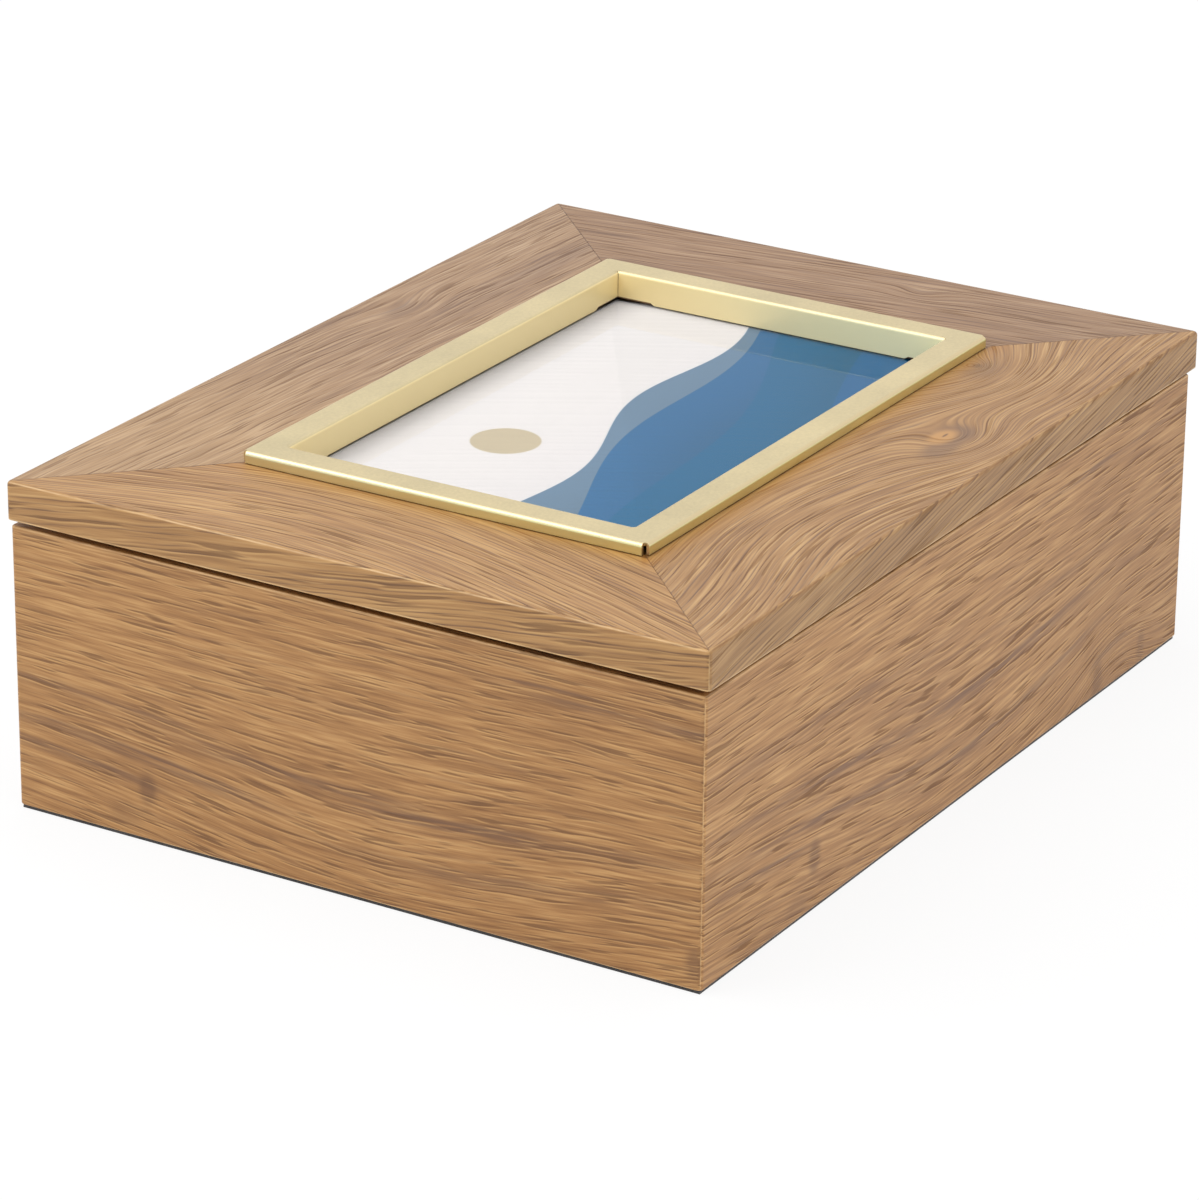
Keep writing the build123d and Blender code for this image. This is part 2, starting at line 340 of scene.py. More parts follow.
def dress_node(node: str, material: bpy.types.Material) -> None:
    """Gives a CAD node that stays in view its material.

    Args:
        node: the CAD node
        material: its material
    """
    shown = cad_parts[node]
    if not shown.material_slots:
        shown.data.materials.append(material)
    for slot in shown.material_slots:
        slot.material = material
    log.info("%s: CAD node in %s", node, material.name)


# ---------------------------------------------------------------- shader wiring
class Waves(NamedTuple):
    """Smooth noise: its waves per unit along each axis, finer waves added, and how strong those are."""

    scale: Triple
    detail: float = 2.0
    roughness: float = 0.5


class Step(NamedTuple):
    """A soft step: where it begins and ends, and what it gives before and after."""

    low: float
    high: float
    start: float = 0.0
    end: float = 1.0


def srgb(red: float, green: float, blue: float) -> tuple[float, ...]:
    """Linear colour of an 8-bit display colour."""
    linear = [((part / BRIGHTEST + 0.055) / 1.055) ** 2.4 for part in (red, green, blue)]
    return (*linear, 1.0)


def shaded(colour: Colour, share: float) -> tuple[float, ...]:
    """Linear value of a display colour whose parts are all scaled by a share."""
    return srgb(*[min(BRIGHTEST, part * share) for part in colour])


class Graph:
    """A shader node tree that is wired by short calls."""

    def __init__(self, tree: bpy.types.NodeTree) -> None:
        """Takes the node tree to fill."""
        self.tree = tree

    @classmethod
    def emptied(cls, owner: bpy.types.Material | bpy.types.World) -> "Graph":
        """Starts the tree of a material or world afresh.

        Args:
            owner: the material or world

        Returns:
            Its graph, without nodes.
        """
        owner.use_nodes = True
        owner.node_tree.nodes.clear()
        return cls(owner.node_tree)

    def feed(self, socket: Socket, value: Value) -> None:
        """Links a socket to an input, or sets the input's own value.

        Args:
            socket: the input
            value: what it takes
        """
        if isinstance(value, Socket):
            self.tree.links.new(value, socket)
        else:
            socket.default_value = value

    def node(
        self, kind: str, given: dict[str | int, Value] | None = None, **settings: object
    ) -> bpy.types.Node:
        """Adds a node.

        Args:
            kind: the node's type, without the prefix that all shader nodes share
            given: what its inputs take, by name or number
            settings: its own properties

        Returns:
            The new node.
        """
        made = self.tree.nodes.new("ShaderNode" + kind)
        for name, value in settings.items():
            setattr(made, name, value)
        for key, value in (given or {}).items():
            self.feed(made.inputs[key], value)
        return made

    def math(self, operation: str, *values: Value, clamp: bool = False) -> Socket:
        """Works out a number.

        Args:
            operation: a Math node's operation
            values: its inputs in order
            clamp: whether the result stays between 0 and 1

        Returns:
            The result's socket.
        """
        given = dict(enumerate(values))
        return self.node("Math", given, operation=operation, use_clamp=clamp).outputs[0]

    def folded(self, operation: str, *values: Value) -> Socket:
        """Joins numbers up with an operation, from the first to the last."""
        return reduce(lambda first, second: self.math(operation, first, second), values)

    def total(self, *values: Value) -> Socket:
        """Adds numbers up."""
        return self.folded("ADD", *values)

    def product(self, *values: Value) -> Socket:
        """Multiplies numbers."""
        return self.folded("MULTIPLY", *values)

    def centred(self, value: Value) -> Socket:
        """Moves a number of 0 to 1 so that it swings about 0."""
        return self.math("SUBTRACT", value, 0.5)

    def shifted(self, share: Value, first: Value, second: Value) -> Socket:
        """Moves the first number towards the second by a share of the way."""
        return self.total(first, self.product(share, self.math("SUBTRACT", second, first)))

    def vector(self, operation: str, *values: Value) -> Socket:
        """Works out a vector with a Vector Math node."""
        return self.node("VectorMath", dict(enumerate(values)), operation=operation).outputs[0]

    def length(self, vector: Value) -> Socket:
        """Length of a vector."""
        return self.node("VectorMath", {0: vector}, operation="LENGTH").outputs["Value"]

    def parts(self, vector: Value) -> tuple[Socket, ...]:
        """The three parts of a vector."""
        return tuple(self.node("SeparateXYZ", {0: vector}).outputs)

    def outside(self, point: Value, half: Value) -> Socket:
        """How far a point lies outside a rectangle round the middle, or inside where negative."""
        outward = self.vector("SUBTRACT", self.vector("ABSOLUTE", point), half)
        return self.math("MAXIMUM", *self.parts(outward)[:2])

    def join(self, x: Value, y: Value, z: Value) -> Socket:
        """A vector of three parts."""
        return self.node("CombineXYZ", {0: x, 1: y, 2: z}).outputs[0]

    def noise(self, point: Value, scale: Triple, detail: float, roughness: float) -> Socket:
        """Smooth noise of about 0 to 1.

        Args:
            point: where it is read
            scale: waves per unit along each axis
            detail: finer waves added
            roughness: how strong those are

        Returns:
            The noise's socket.
        """
        stretched = self.vector("MULTIPLY", point, scale)
        given = {"Vector": stretched, "Scale": 1.0, "Detail": detail, "Roughness": roughness}
        return self.node("TexNoise", given).outputs[0]

    def step(
        self, value: Value, low: Value, high: Value, start: float = 0.0, end: float = 1.0
    ) -> Socket:
        """A soft step.

        Args:
            value: what is looked at
            low: where the step begins
            high: where it ends
            start: the result before it
            end: the result after it

        Returns:
            The result's socket.
        """
        given = {"Value": value, "From Min": low, "From Max": high, "To Min": start, "To Max": end}
        return self.node("MapRange", given, interpolation_type="SMOOTHSTEP").outputs[0]

    def spread(self, value: Value, low: float, high: float) -> Socket:
        """Stretches a range to 0 to 1, with straight sides, and clamps it."""
        return self.node("MapRange", {"Value": value, "From Min": low, "From Max": high}).outputs[0]

    def bell(self, distance: Value) -> Socket:
        """A soft bump: 1 at no distance and falling off over a distance of 1."""
        squared = self.math("MULTIPLY", distance, distance)
        return self.math("EXPONENT", self.math("MULTIPLY", squared, -1.0))

    def blend(self, share: Value, first: Value, second: Value) -> Socket:
        """Mixes two colours.

        Args:
            share: how much of the second
            first: the first colour
            second: the second colour

        Returns:
            The mixed colour's socket.
        """
        return self.node("Mix", {0: share, 6: first, 7: second}, data_type="RGBA").outputs[2]

    def colours(self, value: Value, stops: Sequence[tuple[float, Colour]]) -> Socket:
        """Runs a value through a row of display colours.

        Args:
            value: place in the row, 0 to 1
            stops: place and 8-bit colour of each stop

        Returns:
            The colour's socket.
        """
        ramp = self.node("ValToRGB", {0: value})
        while len(ramp.color_ramp.elements) < len(stops):
            ramp.color_ramp.elements.new(0.5)
        for element, (place, colour) in zip(ramp.color_ramp.elements, stops):
            element.position = place
            element.color = srgb(*colour)
        return ramp.outputs[0]


class Port(Enum):
    """Kind of a node group's socket."""

    NUMBER = "NodeSocketFloat"
    VECTOR = "NodeSocketVector"


class Effect:
    """A node group that is built once and placed in each material with its own values."""

    title: str
    takes: dict[str, Port]
    gives: dict[str, Port]

    @classmethod
    def wire(cls, graph: Graph, given: Sockets) -> Values:
        """Wires the group's inside.

        Args:
            graph: the group's tree
            given: the group's inputs by name

        Returns:
            What each output gives, by name.
        """
        raise NotImplementedError

    @classmethod
    def tree(cls) -> bpy.types.NodeTree:
        """Builds the group's tree on first use.

        Returns:
            The tree.
        """
        if cls.title in bpy.data.node_groups:
            return bpy.data.node_groups[cls.title]
        made = bpy.data.node_groups.new(cls.title, "ShaderNodeTree")
        for name, port in cls.takes.items():
            made.interface.new_socket(name=name, in_out="INPUT", socket_type=port.value)
        for name, port in cls.gives.items():
            made.interface.new_socket(name=name, in_out="OUTPUT", socket_type=port.value)
        source = made.nodes.new("NodeGroupInput")
        sink = made.nodes.new("NodeGroupOutput")
        for name, value in cls.wire(Graph(made), dict(source.outputs.items())).items():
            made.links.new(value, sink.inputs[name])
        return made

    @classmethod
    def place(cls, graph: Graph, given: Values) -> Sockets:
        """Puts the group in a tree.

        Args:
            graph: the tree
            given: what the group's inputs take, by name

        Returns:
            The group's outputs by name.
        """
        placed = graph.node("Group", node_tree=cls.tree())
        for name, value in given.items():
            graph.feed(placed.inputs[name], value)
        return dict(placed.outputs.items())


# ---------------------------------------------------------------- shared effects
class GrainSwell(Effect):
    """A soft oval on a board's face, which lifts the growth rings or marks a patch."""

    title = "grain_swell"
    takes = {"Board": Port.VECTOR, "Place": Port.VECTOR, "Size": Port.VECTOR}
    gives = {"Amount": Port.NUMBER}

    @classmethod
    def wire(cls, graph: Graph, given: Sockets) -> Values:
        """Measures the distance from the oval's middle, in its own sizes."""
        flat = graph.vector("MULTIPLY", given["Board"], (1, 1, 0))
        offset = graph.vector("SUBTRACT", flat, given["Place"])
        return {"Amount": graph.bell(graph.length(graph.vector("DIVIDE", offset, given["Size"])))}


class GrainWander(Effect):
    """Makes straight grain wander as it does in a grown board."""

    title = "grain_wander"
    takes = {"Grain": Port.VECTOR, "Seed": Port.NUMBER, "Reach": Port.NUMBER}
    gives = {"Grain": Port.VECTOR}
    slow = Waves((0.010, 0.020, 0.020), 1.0)
    slow_reach = 7.0
    quick = Waves((0.040, 0.09, 0.09))
    quick_reach = 4.0

    @classmethod
    def wire(cls, graph: Graph, given: Sockets) -> Values:
        """Shifts the across coordinate by two sizes of slow waves."""
        seeded = graph.vector("ADD", given["Grain"], graph.join(0.0, 0.0, given["Seed"]))
        slow = graph.product(graph.centred(graph.noise(seeded, *cls.slow)), cls.slow_reach)
        quick = graph.product(graph.centred(graph.noise(seeded, *cls.quick)), cls.quick_reach)
        waves = graph.product(graph.total(slow, quick), given["Reach"])
        along, across, depth = graph.parts(seeded)
        return {"Grain": graph.join(along, graph.total(across, waves), depth)}


class GrainStreak(Effect):
    """One long dark streak along the grain, sharp on one side and fading on the other."""

    title = "grain_streak"
    takes = {"Grain": Port.VECTOR, "Place": Port.VECTOR, "Width": Port.NUMBER, "Reach": Port.NUMBER}
    gives = {"Mask": Port.NUMBER}
    soft_side = 0.4

    @classmethod
    def wire(cls, graph: Graph, given: Sockets) -> Values:
        """Measures the distance from the streak's line of growth, and fades the ends."""
        along, across, _ = graph.parts(graph.vector("SUBTRACT", given["Grain"], given["Place"]))
        fading = graph.product(across, -cls.soft_side)
        distance = graph.math("DIVIDE", graph.math("MAXIMUM", across, fading), given["Width"])
        run = graph.math("DIVIDE", along, given["Reach"])
        return {"Mask": graph.product(graph.bell(distance), graph.bell(graph.product(run, run)))}


class OakFigure(Effect):
    """The figure of oak: tone, dark growth rings and pores, each pore with a pale painted highlight on one
    side, as if an emboss caught the light.
    """

    title = "oak_figure"
    takes = {
        "Grain": Port.VECTOR, "Fineness": Port.NUMBER, "Pitch": Port.NUMBER, "Breadth": Port.NUMBER,
    }
    gives = {
        "Tone": Port.NUMBER, "Lines": Port.NUMBER, "Pores": Port.NUMBER,
        "Lips": Port.NUMBER, "Breaks": Port.NUMBER, "Height": Port.NUMBER,
    }
    bands = Waves((0.008, 0.13, 0.13))
    threads = Waves((0.018, 0.60, 0.60), 2.0, 0.6)
    hairs = Waves((0.050, 1.45, 1.45), 2.0, 0.6)
    hair_contrast = 1.7
    hair_height = 0.7
    breaks = Waves((0.035, 1.1, 1.1), 2.0, 0.6)
    broken = Step(0.34, 0.60, 0.25, 1.0)
    drift = Waves((0.009, 0.14, 0.14), 2.0, 0.55)
    drift_years = 3.2
    spring = Step(0.0, 0.13)
    summer = Step(0.13, 0.52, 1.0, 0.0)
    year_apart = 7.3
    year_waves = Waves((0.025, 1.0, 0.1), 2.0, 0.6)
    year_weight = Step(0.36, 0.62, 0.05, 1.0)
    pores = Waves((0.065, 1.25, 1.25), 1.0)
    pore_edge = Step(0.57, 0.68)
    pore_crowding = 0.08
    lip_shift = (0, 0.28, 0)

    @classmethod
    def wire(cls, graph: Graph, given: Sockets) -> Values:
        """Adds up noise that is stretched along the grain, from bands to pores, over the rings."""
        grain = given["Grain"]
        fine = graph.vector("MULTIPLY", grain, graph.join(*[given["Fineness"]] * 3))
        bands = graph.centred(graph.noise(grain, *cls.bands))
        threads = graph.centred(graph.noise(fine, *cls.threads))
        hairs = graph.noise(fine, *cls.hairs)
        tone = graph.total(
            graph.product(bands, given["Breadth"]),
            graph.product(threads, given["Breadth"]),
            graph.product(graph.centred(hairs), cls.hair_contrast),
            0.5,
        )
        breaks = graph.step(graph.noise(fine, *cls.breaks), *cls.broken)
        lines = cls.rings(graph, grain, given["Pitch"])
        crowd = graph.product(lines, cls.pore_crowding)
        pores = cls.pores_at(graph, fine, crowd)
        # Painted highlight: a pale line shifted to one side of each pore, standing for the light that an
        # embossed pore edge would catch.
        beside = cls.pores_at(graph, graph.vector("ADD", fine, cls.lip_shift), crowd)
        painted_highlights = graph.math("SUBTRACT", beside, pores, clamp=True)
        height = graph.math("SUBTRACT", graph.product(hairs, cls.hair_height), pores)
        return {
            "Tone": tone, "Lines": lines, "Pores": pores, "Lips": painted_highlights, "Breaks": breaks, "Height": height,
        }

    @classmethod
    def rings(cls, graph: Graph, grain: Value, pitch: Value) -> Socket:
        """Dark growth rings, each of them strong in some stretches and faint in others.

        Args:
            graph: the group's tree
            grain: the point in the board's growth
            pitch: distance between two rings

        Returns:
            The rings' mask.
        """
        along, across, depth = graph.parts(grain)
        drift = graph.product(graph.noise(grain, *cls.drift), cls.drift_years)
        age = graph.total(graph.math("DIVIDE", across, pitch), drift)
        year = graph.math("FLOOR", age)
        season = graph.math("FRACT", age)
        line = graph.math("MINIMUM", graph.step(season, *cls.spring), graph.step(season, *cls.summer))
        of_year = graph.join(along, graph.product(year, cls.year_apart), depth)
        weight = graph.step(graph.noise(of_year, *cls.year_waves), *cls.year_weight)
        return graph.product(line, weight)

    @classmethod
    def pores_at(cls, graph: Graph, point: Value, crowd: Value) -> Socket:
        """Mask of the pores, which crowd along the rings."""
        return graph.step(graph.total(graph.noise(point, *cls.pores), crowd), *cls.pore_edge)


class MitreLine(Effect):
    """Mask of the thin dark joint between two mitred boards."""

    title = "mitre_line"
    takes = {"Point": Port.VECTOR, "Half": Port.VECTOR, "Width": Port.NUMBER}
    gives = {"Mask": Port.NUMBER}
    waves = Waves((0.22, 0.22, 0.22), 3.0, 0.6)
    uneven = Step(0.3, 0.66, 0.35, 1.0)

    @classmethod
    def wire(cls, graph: Graph, given: Sockets) -> Values:
        """Finds where both sides of the frame are equally far, with an uneven width."""
        inside = graph.vector("SUBTRACT", given["Half"], graph.vector("ABSOLUTE", given["Point"]))
        from_end, from_side, _ = graph.parts(inside)
        apart = graph.math("ABSOLUTE", graph.math("SUBTRACT", from_end, from_side))
        uneven = graph.step(graph.noise(given["Point"], *cls.waves), *cls.uneven)
        return {"Mask": graph.product(uneven, graph.step(apart, 0.0, given["Width"], 1.0, 0.0))}


class ArrisWear(Effect):
    """Mask of the outer edges of a block, where handling has paled the finish and a painted highlight stands
    for the light that the rounded edges catch.
    """

    title = "arris_wear"
    takes = {
        "Point": Port.VECTOR, "Middle": Port.VECTOR, "Half": Port.VECTOR, "Width": Port.NUMBER,
    }
    gives = {"Mask": Port.NUMBER}
    full_width = 0.28
    waves = Waves((0.09, 0.09, 0.3), 3.0, 0.6)
    patchy = Step(0.32, 0.62, 0.15, 1.0)

    @classmethod
    def wire(cls, graph: Graph, given: Sockets) -> Values:
        """Finds where the second nearest of the block's faces is close."""
        offset = graph.vector("ABSOLUTE", graph.vector("SUBTRACT", given["Point"], given["Middle"]))
        inside = graph.parts(graph.vector("SUBTRACT", given["Half"], offset))
        low = graph.math("MINIMUM", inside[0], inside[1])
        high = graph.math("MAXIMUM", inside[0], inside[1])
        second = graph.math("MAXIMUM", low, graph.math("MINIMUM", high, inside[2]))
        worn = graph.step(second, cls.full_width, given["Width"], 1.0, 0.0)
        return {"Mask": graph.product(worn, graph.step(graph.noise(given["Point"], *cls.waves), *cls.patchy))}


class SurroundGlow(Effect):
    """Mask of a band on the wood along a metal surround's foot, used for the painted golden reflection of the
    metal and for the painted dark contact shade.
    """

    title = "painted_surround_band"
    takes = {"Point": Port.VECTOR, "Half": Port.VECTOR, "Reach": Port.NUMBER}
    gives = {"Mask": Port.NUMBER}
    waves = Waves((0.12, 0.12, 0.12))
    uneven = Step(0.3, 0.6, 0.65, 1.0)

    @classmethod
    def wire(cls, graph: Graph, given: Sockets) -> Values:
        """Measures how far a point lies outside the surround, and breaks the light up a little."""
        away = graph.math("DIVIDE", graph.outside(given["Point"], given["Half"]), given["Reach"])
        uneven = graph.step(graph.noise(given["Point"], *cls.waves), *cls.uneven)
        return {"Mask": graph.product(graph.bell(away), uneven)}


class BrushedLines(Effect):
    """Fine parallel lines of a brushed metal, with faint cloudiness."""

    title = "brushed_lines"
    takes = {"Point": Port.VECTOR, "Stretch": Port.VECTOR}
    gives = {"Height": Port.NUMBER, "Cloud": Port.NUMBER}
    lines = Waves((1, 1, 1), 3.0, 0.7)
    clouds = Waves((0.05, 0.05, 0.05), 3.0, 0.6)

    @classmethod
    def wire(cls, graph: Graph, given: Sockets) -> Values:
        """Reads noise that is stretched along the brushing."""
        stretched = graph.vector("MULTIPLY", given["Point"], given["Stretch"])
        clouds = graph.noise(given["Point"], *cls.clouds)
        return {"Height": graph.noise(stretched, *cls.lines), "Cloud": clouds}


class FeltFibres(Effect):
    """Matted short fibres of a felt or a soft rubber."""

    title = "felt_fibres"
    takes = {"Point": Port.VECTOR}
    gives = {"Tone": Port.NUMBER, "Height": Port.NUMBER}
    warp = Waves((0.5, 0.5, 0.5))
    warp_across = 2.0
    lengthwise = Waves((3.5, 0.9, 2.0), 2.0, 0.7)
    crosswise = Waves((0.9, 3.5, 2.0), 2.0, 0.7)
    clumps = Waves((0.12, 0.12, 0.12))

    @classmethod
    def wire(cls, graph: Graph, given: Sockets) -> Values:
        """Crosses two directions of stretched noise over clumps."""
        warp = graph.noise(given["Point"], *cls.warp)
        shift = graph.join(warp, graph.product(warp, cls.warp_across), warp)
        moved = graph.vector("ADD", given["Point"], shift)
        crossed = [graph.noise(moved, *waves) for waves in (cls.lengthwise, cls.crosswise)]
        fibres = graph.math("MAXIMUM", *crossed)
        clumps = graph.noise(given["Point"], *cls.clumps)
        return {"Tone": graph.total(graph.product(clumps, 0.5), graph.product(fibres, 0.5)), "Height": fibres}


class PaperFibre(Effect):
    """Fine tooth of paper or board."""

    title = "paper_fibre"
    takes = {"Point": Port.VECTOR}
    gives = {"Height": Port.NUMBER, "Specks": Port.NUMBER}
    tooth = Waves((4, 4, 4), 3.0, 0.6)
    specks = Waves((1.3, 0.5, 1.3))
    speck_edge = Step(0.64, 0.74)

    @classmethod
    def wire(cls, graph: Graph, given: Sockets) -> Values:
        """Reads even noise for the tooth, and sparse specks."""
        specks = graph.step(graph.noise(given["Point"], *cls.specks), *cls.speck_edge)
        return {"Height": graph.noise(given["Point"], *cls.tooth), "Specks": specks}


# ---------------------------------------------------------------- finishes
class Finish:
    """Starts a material: its tree, its Principled shader and the object's millimetres."""

    def __init__(self, name: str) -> None:
        """Makes a material with a bare Principled shader.

        Args:
            name: the material's name
        """
        self.material = bpy.data.materials.new(name)
        self.graph = Graph.emptied(self.material)
        self.shader = self.graph.node("BsdfPrincipled")
        self.output = self.graph.node("OutputMaterial", {0: self.shader.outputs[0]})
        object_place = self.graph.node("TexCoord").outputs["Object"]
        self.point = self.graph.vector("MULTIPLY", object_place, (1 / MM, 1 / MM, 1 / MM))

    def set(self, **values: Value) -> None:
        """Feeds the shader's inputs, whose names are given with underscores for spaces."""
        for name, value in values.items():
            self.graph.feed(self.shader.inputs[name.replace("_", " ")], value)

    def emboss(self, height: Value, depth: float) -> None:
        """Feeds a height of about 0 to 1 to the shader as a bump of that depth in metres."""
        bump = self.graph.node("Bump", {"Height": height, "Distance": depth, "Strength": 1.0})
        self.set(Normal=bump.outputs[0])


class GrainRun(Enum):
    """Object axes that lie along the grain, across it on the show face, and into the board."""

    WALL_ALONG_X = (0, 2, 1)
    WALL_ALONG_Y = (1, 2, 0)
    LID_ALONG_X = (0, 1, 2)
    LID_ALONG_Y = (1, 0, 2)


@dataclass(frozen=True)
class Swell:
    """A place where the growth rings bulge, in millimetres along and across a board's show face.

    Lines dip round a swell that rises, and close into rings round one steeper than the board.
    """

    place: Pair
    size: Pair
    rise: float

    def lift(self, along: float, across: float) -> float:
        """How far the swell lifts the growth at a point."""
        reach = math.hypot((along - self.place[0]) / self.size[0], (across - self.place[1]) / self.size[1])
        return self.rise * math.exp(-reach * reach)


@dataclass(frozen=True)
class Patch:
    """A coloured patch on a board's show face, such as a knot's heart, in millimetres."""

    place: Pair
    size: Pair
    strength: float
    colour: Colour
    fade: float = 0.05
    core: float = 0.85


@dataclass(frozen=True)
class Streak:
    """A long dark streak through a point of a board's show face, in millimetres."""

    place: Pair
    width: float
    reach: float
    strength: float


@dataclass(frozen=True)
class Glow:
    """A band on the wood along the surround's foot where light or shade is painted, with its reach in
    millimetres.
    """

    reach: float
    strength: float
    colour: Colour


KNOT_BROWN = (112, 80, 60)
KNOT_VIOLET = (116, 88, 76)
HEART_GOLD = (208, 158, 102)
AMBER = (150, 104, 62)
PALE_OAK = (236, 202, 160)
DUSKY_OAK = (116, 78, 42)
LIT_OAK = (255, 200, 120)
# Painted reflection: golden light that the metal surround throws on the wood beside it.
GOLDEN_LIGHT = Glow(4.0, 0.60, (168, 112, 38))
# Painted shade: a dark contact line on the wood along the surround's foot.
PAINTED_FOOT_SHADE = Glow(0.45, 0.80, (92, 58, 24))


@dataclass(frozen=True)
class OakFinish:
    """Satin oak veneer of one board."""

    name: str
    run: GrainRun
    seed: float
    block: Corners
    tint: Colour = (1.0, 1.0, 1.0)
    slant: float = 0.0
    fineness: float = 1.0
    pitch: float = 1.4
    breadth: float = 0.6
    wander: float = 0.5
    line_strength: float = 0.50
    pore_strength: float = 0.42
    joint: float = 0.0
    joint_width: float = 0.34
    edge_slant: float | None = None
    edge_pale: float = 0.0
    band: float = 0.7
    surround: Pair | None = None
    swells: tuple[Swell, ...] = ()
    streaks: tuple[Streak, ...] = ()
    patches: tuple[Patch, ...] = ()
    # Painted golden reflection and painted contact shade along the surround's foot.
    glows: tuple[Glow, ...] = (GOLDEN_LIGHT, PAINTED_FOOT_SHADE)
    # Colours of the edges, partly worn and partly a painted highlight: the lower edges take PALE_OAK, the top
    # ones this colour.
    arris: Colour = PALE_OAK
    arris_depth: float = 0.5
    wear_width: float = 0.55
    wear_strength: float = 0.85
    tones: tuple[Colour, ...] = ((136, 96, 60), (180, 137, 92), (214, 174, 126))
    streak_colour: Colour = (118, 87, 70)
    pore_colour: Colour = (112, 80, 58)
    # Colour of the painted highlight beside each pore.
    lip_colour: Colour = (214, 173, 122)
    joint_colour: Colour = (66, 46, 36)
    roughness: float = 0.44
    pore_roughness: float = 0.20
    wear_roughness: float = -0.08
    specular: float = 0.40
    relief: float = 0.06 * MM

    def tinted(self, colour: Colour) -> tuple[float, ...]:
        """Linear value of a display colour on this board."""
        return srgb(*[min(BRIGHTEST, part * share) for part, share in zip(colour, self.tint)])

    def growth_at(self, along: float, across: float) -> float:
        """The growth coordinate of a point on the show face."""
        lifted = sum(swell.lift(along, across) for swell in self.swells)
        return across + self.slant * along + lifted

    def oval(self, graph: Graph, board: Value, shape: Swell | Patch) -> Socket:
        """Places the group that marks a swell's or patch's oval."""
        given = {"Board": board, "Place": (*shape.place, 0), "Size": (*shape.size, 1)}
        return GrainSwell.place(graph, given)["Amount"]

    def edge_mask(self, graph: Graph, across: Value) -> Socket:
        """Mask of the strip of veneer on the board's outer edge, which has its own grain.

        Args:
            graph: the material's tree
            across: place across the board's show face

        Returns:
            The mask's socket.
        """
        axis = self.run.value[1]
        low, high = self.block[0][axis] / MM, self.block[1][axis] / MM
        reach = graph.math("ABSOLUTE", graph.math("SUBTRACT", across, (low + high) / 2))
        return graph.math("GREATER_THAN", reach, (high - low) / 2 - self.band)

    def grain(self, graph: Graph, board: Value, edge: Value) -> Socket:
        """Point in the board's growth: along the grain, across the rings and into the board.

        Args:
            graph: the material's tree
            board: point along, across and into the board
            edge: mask of the outer edge

        Returns:
            The point's socket.
        """
        along, across, depth = graph.parts(board)
        growth = graph.total(across, graph.product(along, self.slant))
        for swell in self.swells:
            growth = graph.total(growth, graph.product(self.oval(graph, board, swell), swell.rise))
        if self.edge_slant is not None:
            banding = graph.total(depth, graph.product(along, self.edge_slant))
            growth = graph.shifted(edge, growth, banding)
            depth = graph.shifted(edge, depth, across)
        given = {"Grain": graph.join(along, growth, depth), "Seed": self.seed, "Reach": self.wander}
        return GrainWander.place(graph, given)["Grain"]

    def streaked(self, graph: Graph, grain: Value) -> Value:
        """Mask of the board's long streaks.

        Args:
            graph: the material's tree
            grain: point in the board's growth

        Returns:
            The mask, or 0 for a board without streaks.
        """
        marks: Value = 0.0
        for streak in self.streaks:
            line = (streak.place[0], self.growth_at(*streak.place), 0)
            given = {"Grain": grain, "Place": line, "Width": streak.width, "Reach": streak.reach}
            mask = GrainStreak.place(graph, given)["Mask"]
            marks = graph.math("MAXIMUM", marks, graph.product(mask, streak.strength))
        return marks

    def figured(self, graph: Graph, board: Value, grain: Value, edge: Value, figure: Sockets) -> Socket:
        """Colour of the wood with its figure, streaks and patches.

        Args:
            graph: the material's tree
            board: point along, across and into the board
            grain: point in the board's growth
            edge: mask of the outer edge
            figure: outputs of the oak's figure

        Returns:
            The colour's socket.
        """
        marks = graph.product(self.streaked(graph, grain), figure["Breaks"])
        dark = graph.math("MAXIMUM", graph.product(figure["Lines"], self.line_strength), marks)
        last = len(self.tones) - 1
        colour = graph.colours(figure["Tone"], [
            (place / last, [part * share for part, share in zip(tone, self.tint)])
            for place, tone in enumerate(self.tones)
        ])
        colour = graph.blend(graph.product(edge, self.edge_pale), colour, self.tinted(self.tones[-1]))
        colour = graph.blend(dark, colour, self.tinted(self.streak_colour))
        for patch in self.patches:
            cover = graph.step(self.oval(graph, board, patch), patch.fade, patch.core, 0.0, patch.strength)
            colour = graph.blend(cover, colour, self.tinted(patch.colour))
        # The pores darken the wood, and a painted highlight pales one side of each pore.
        for part, tone in (("Lips", self.lip_colour), ("Pores", self.pore_colour)):
            share = graph.product(figure[part], self.pore_strength)
            colour = graph.blend(share, colour, self.tinted(tone))
        return colour

    def build(self) -> bpy.types.Material:
        """Wires the board's material."""
        finish = Finish(self.name)
        graph, point = finish.graph, finish.point
        axes = graph.parts(point)
        board = graph.join(*[axes[axis] for axis in self.run.value])
        edge = self.edge_mask(graph, axes[self.run.value[1]])
        grain = self.grain(graph, board, edge)
        figure = OakFigure.place(graph, {
            "Grain": grain, "Fineness": self.fineness, "Pitch": self.pitch, "Breadth": self.breadth,
        })
        colour = self.figured(graph, board, grain, edge, figure)
        # Painted light and painted shade on the wood along the surround's foot.
        if self.surround:
            for glow in self.glows:
                given = {"Point": point, "Half": (*self.surround, 0), "Reach": glow.reach}
                share = graph.product(SurroundGlow.place(graph, given)["Mask"], glow.strength)
                colour = graph.blend(share, colour, srgb(*glow.colour))
        low, high = self.block
        middle, half = (low + high) / 2 / MM, (high - low) / 2 / MM
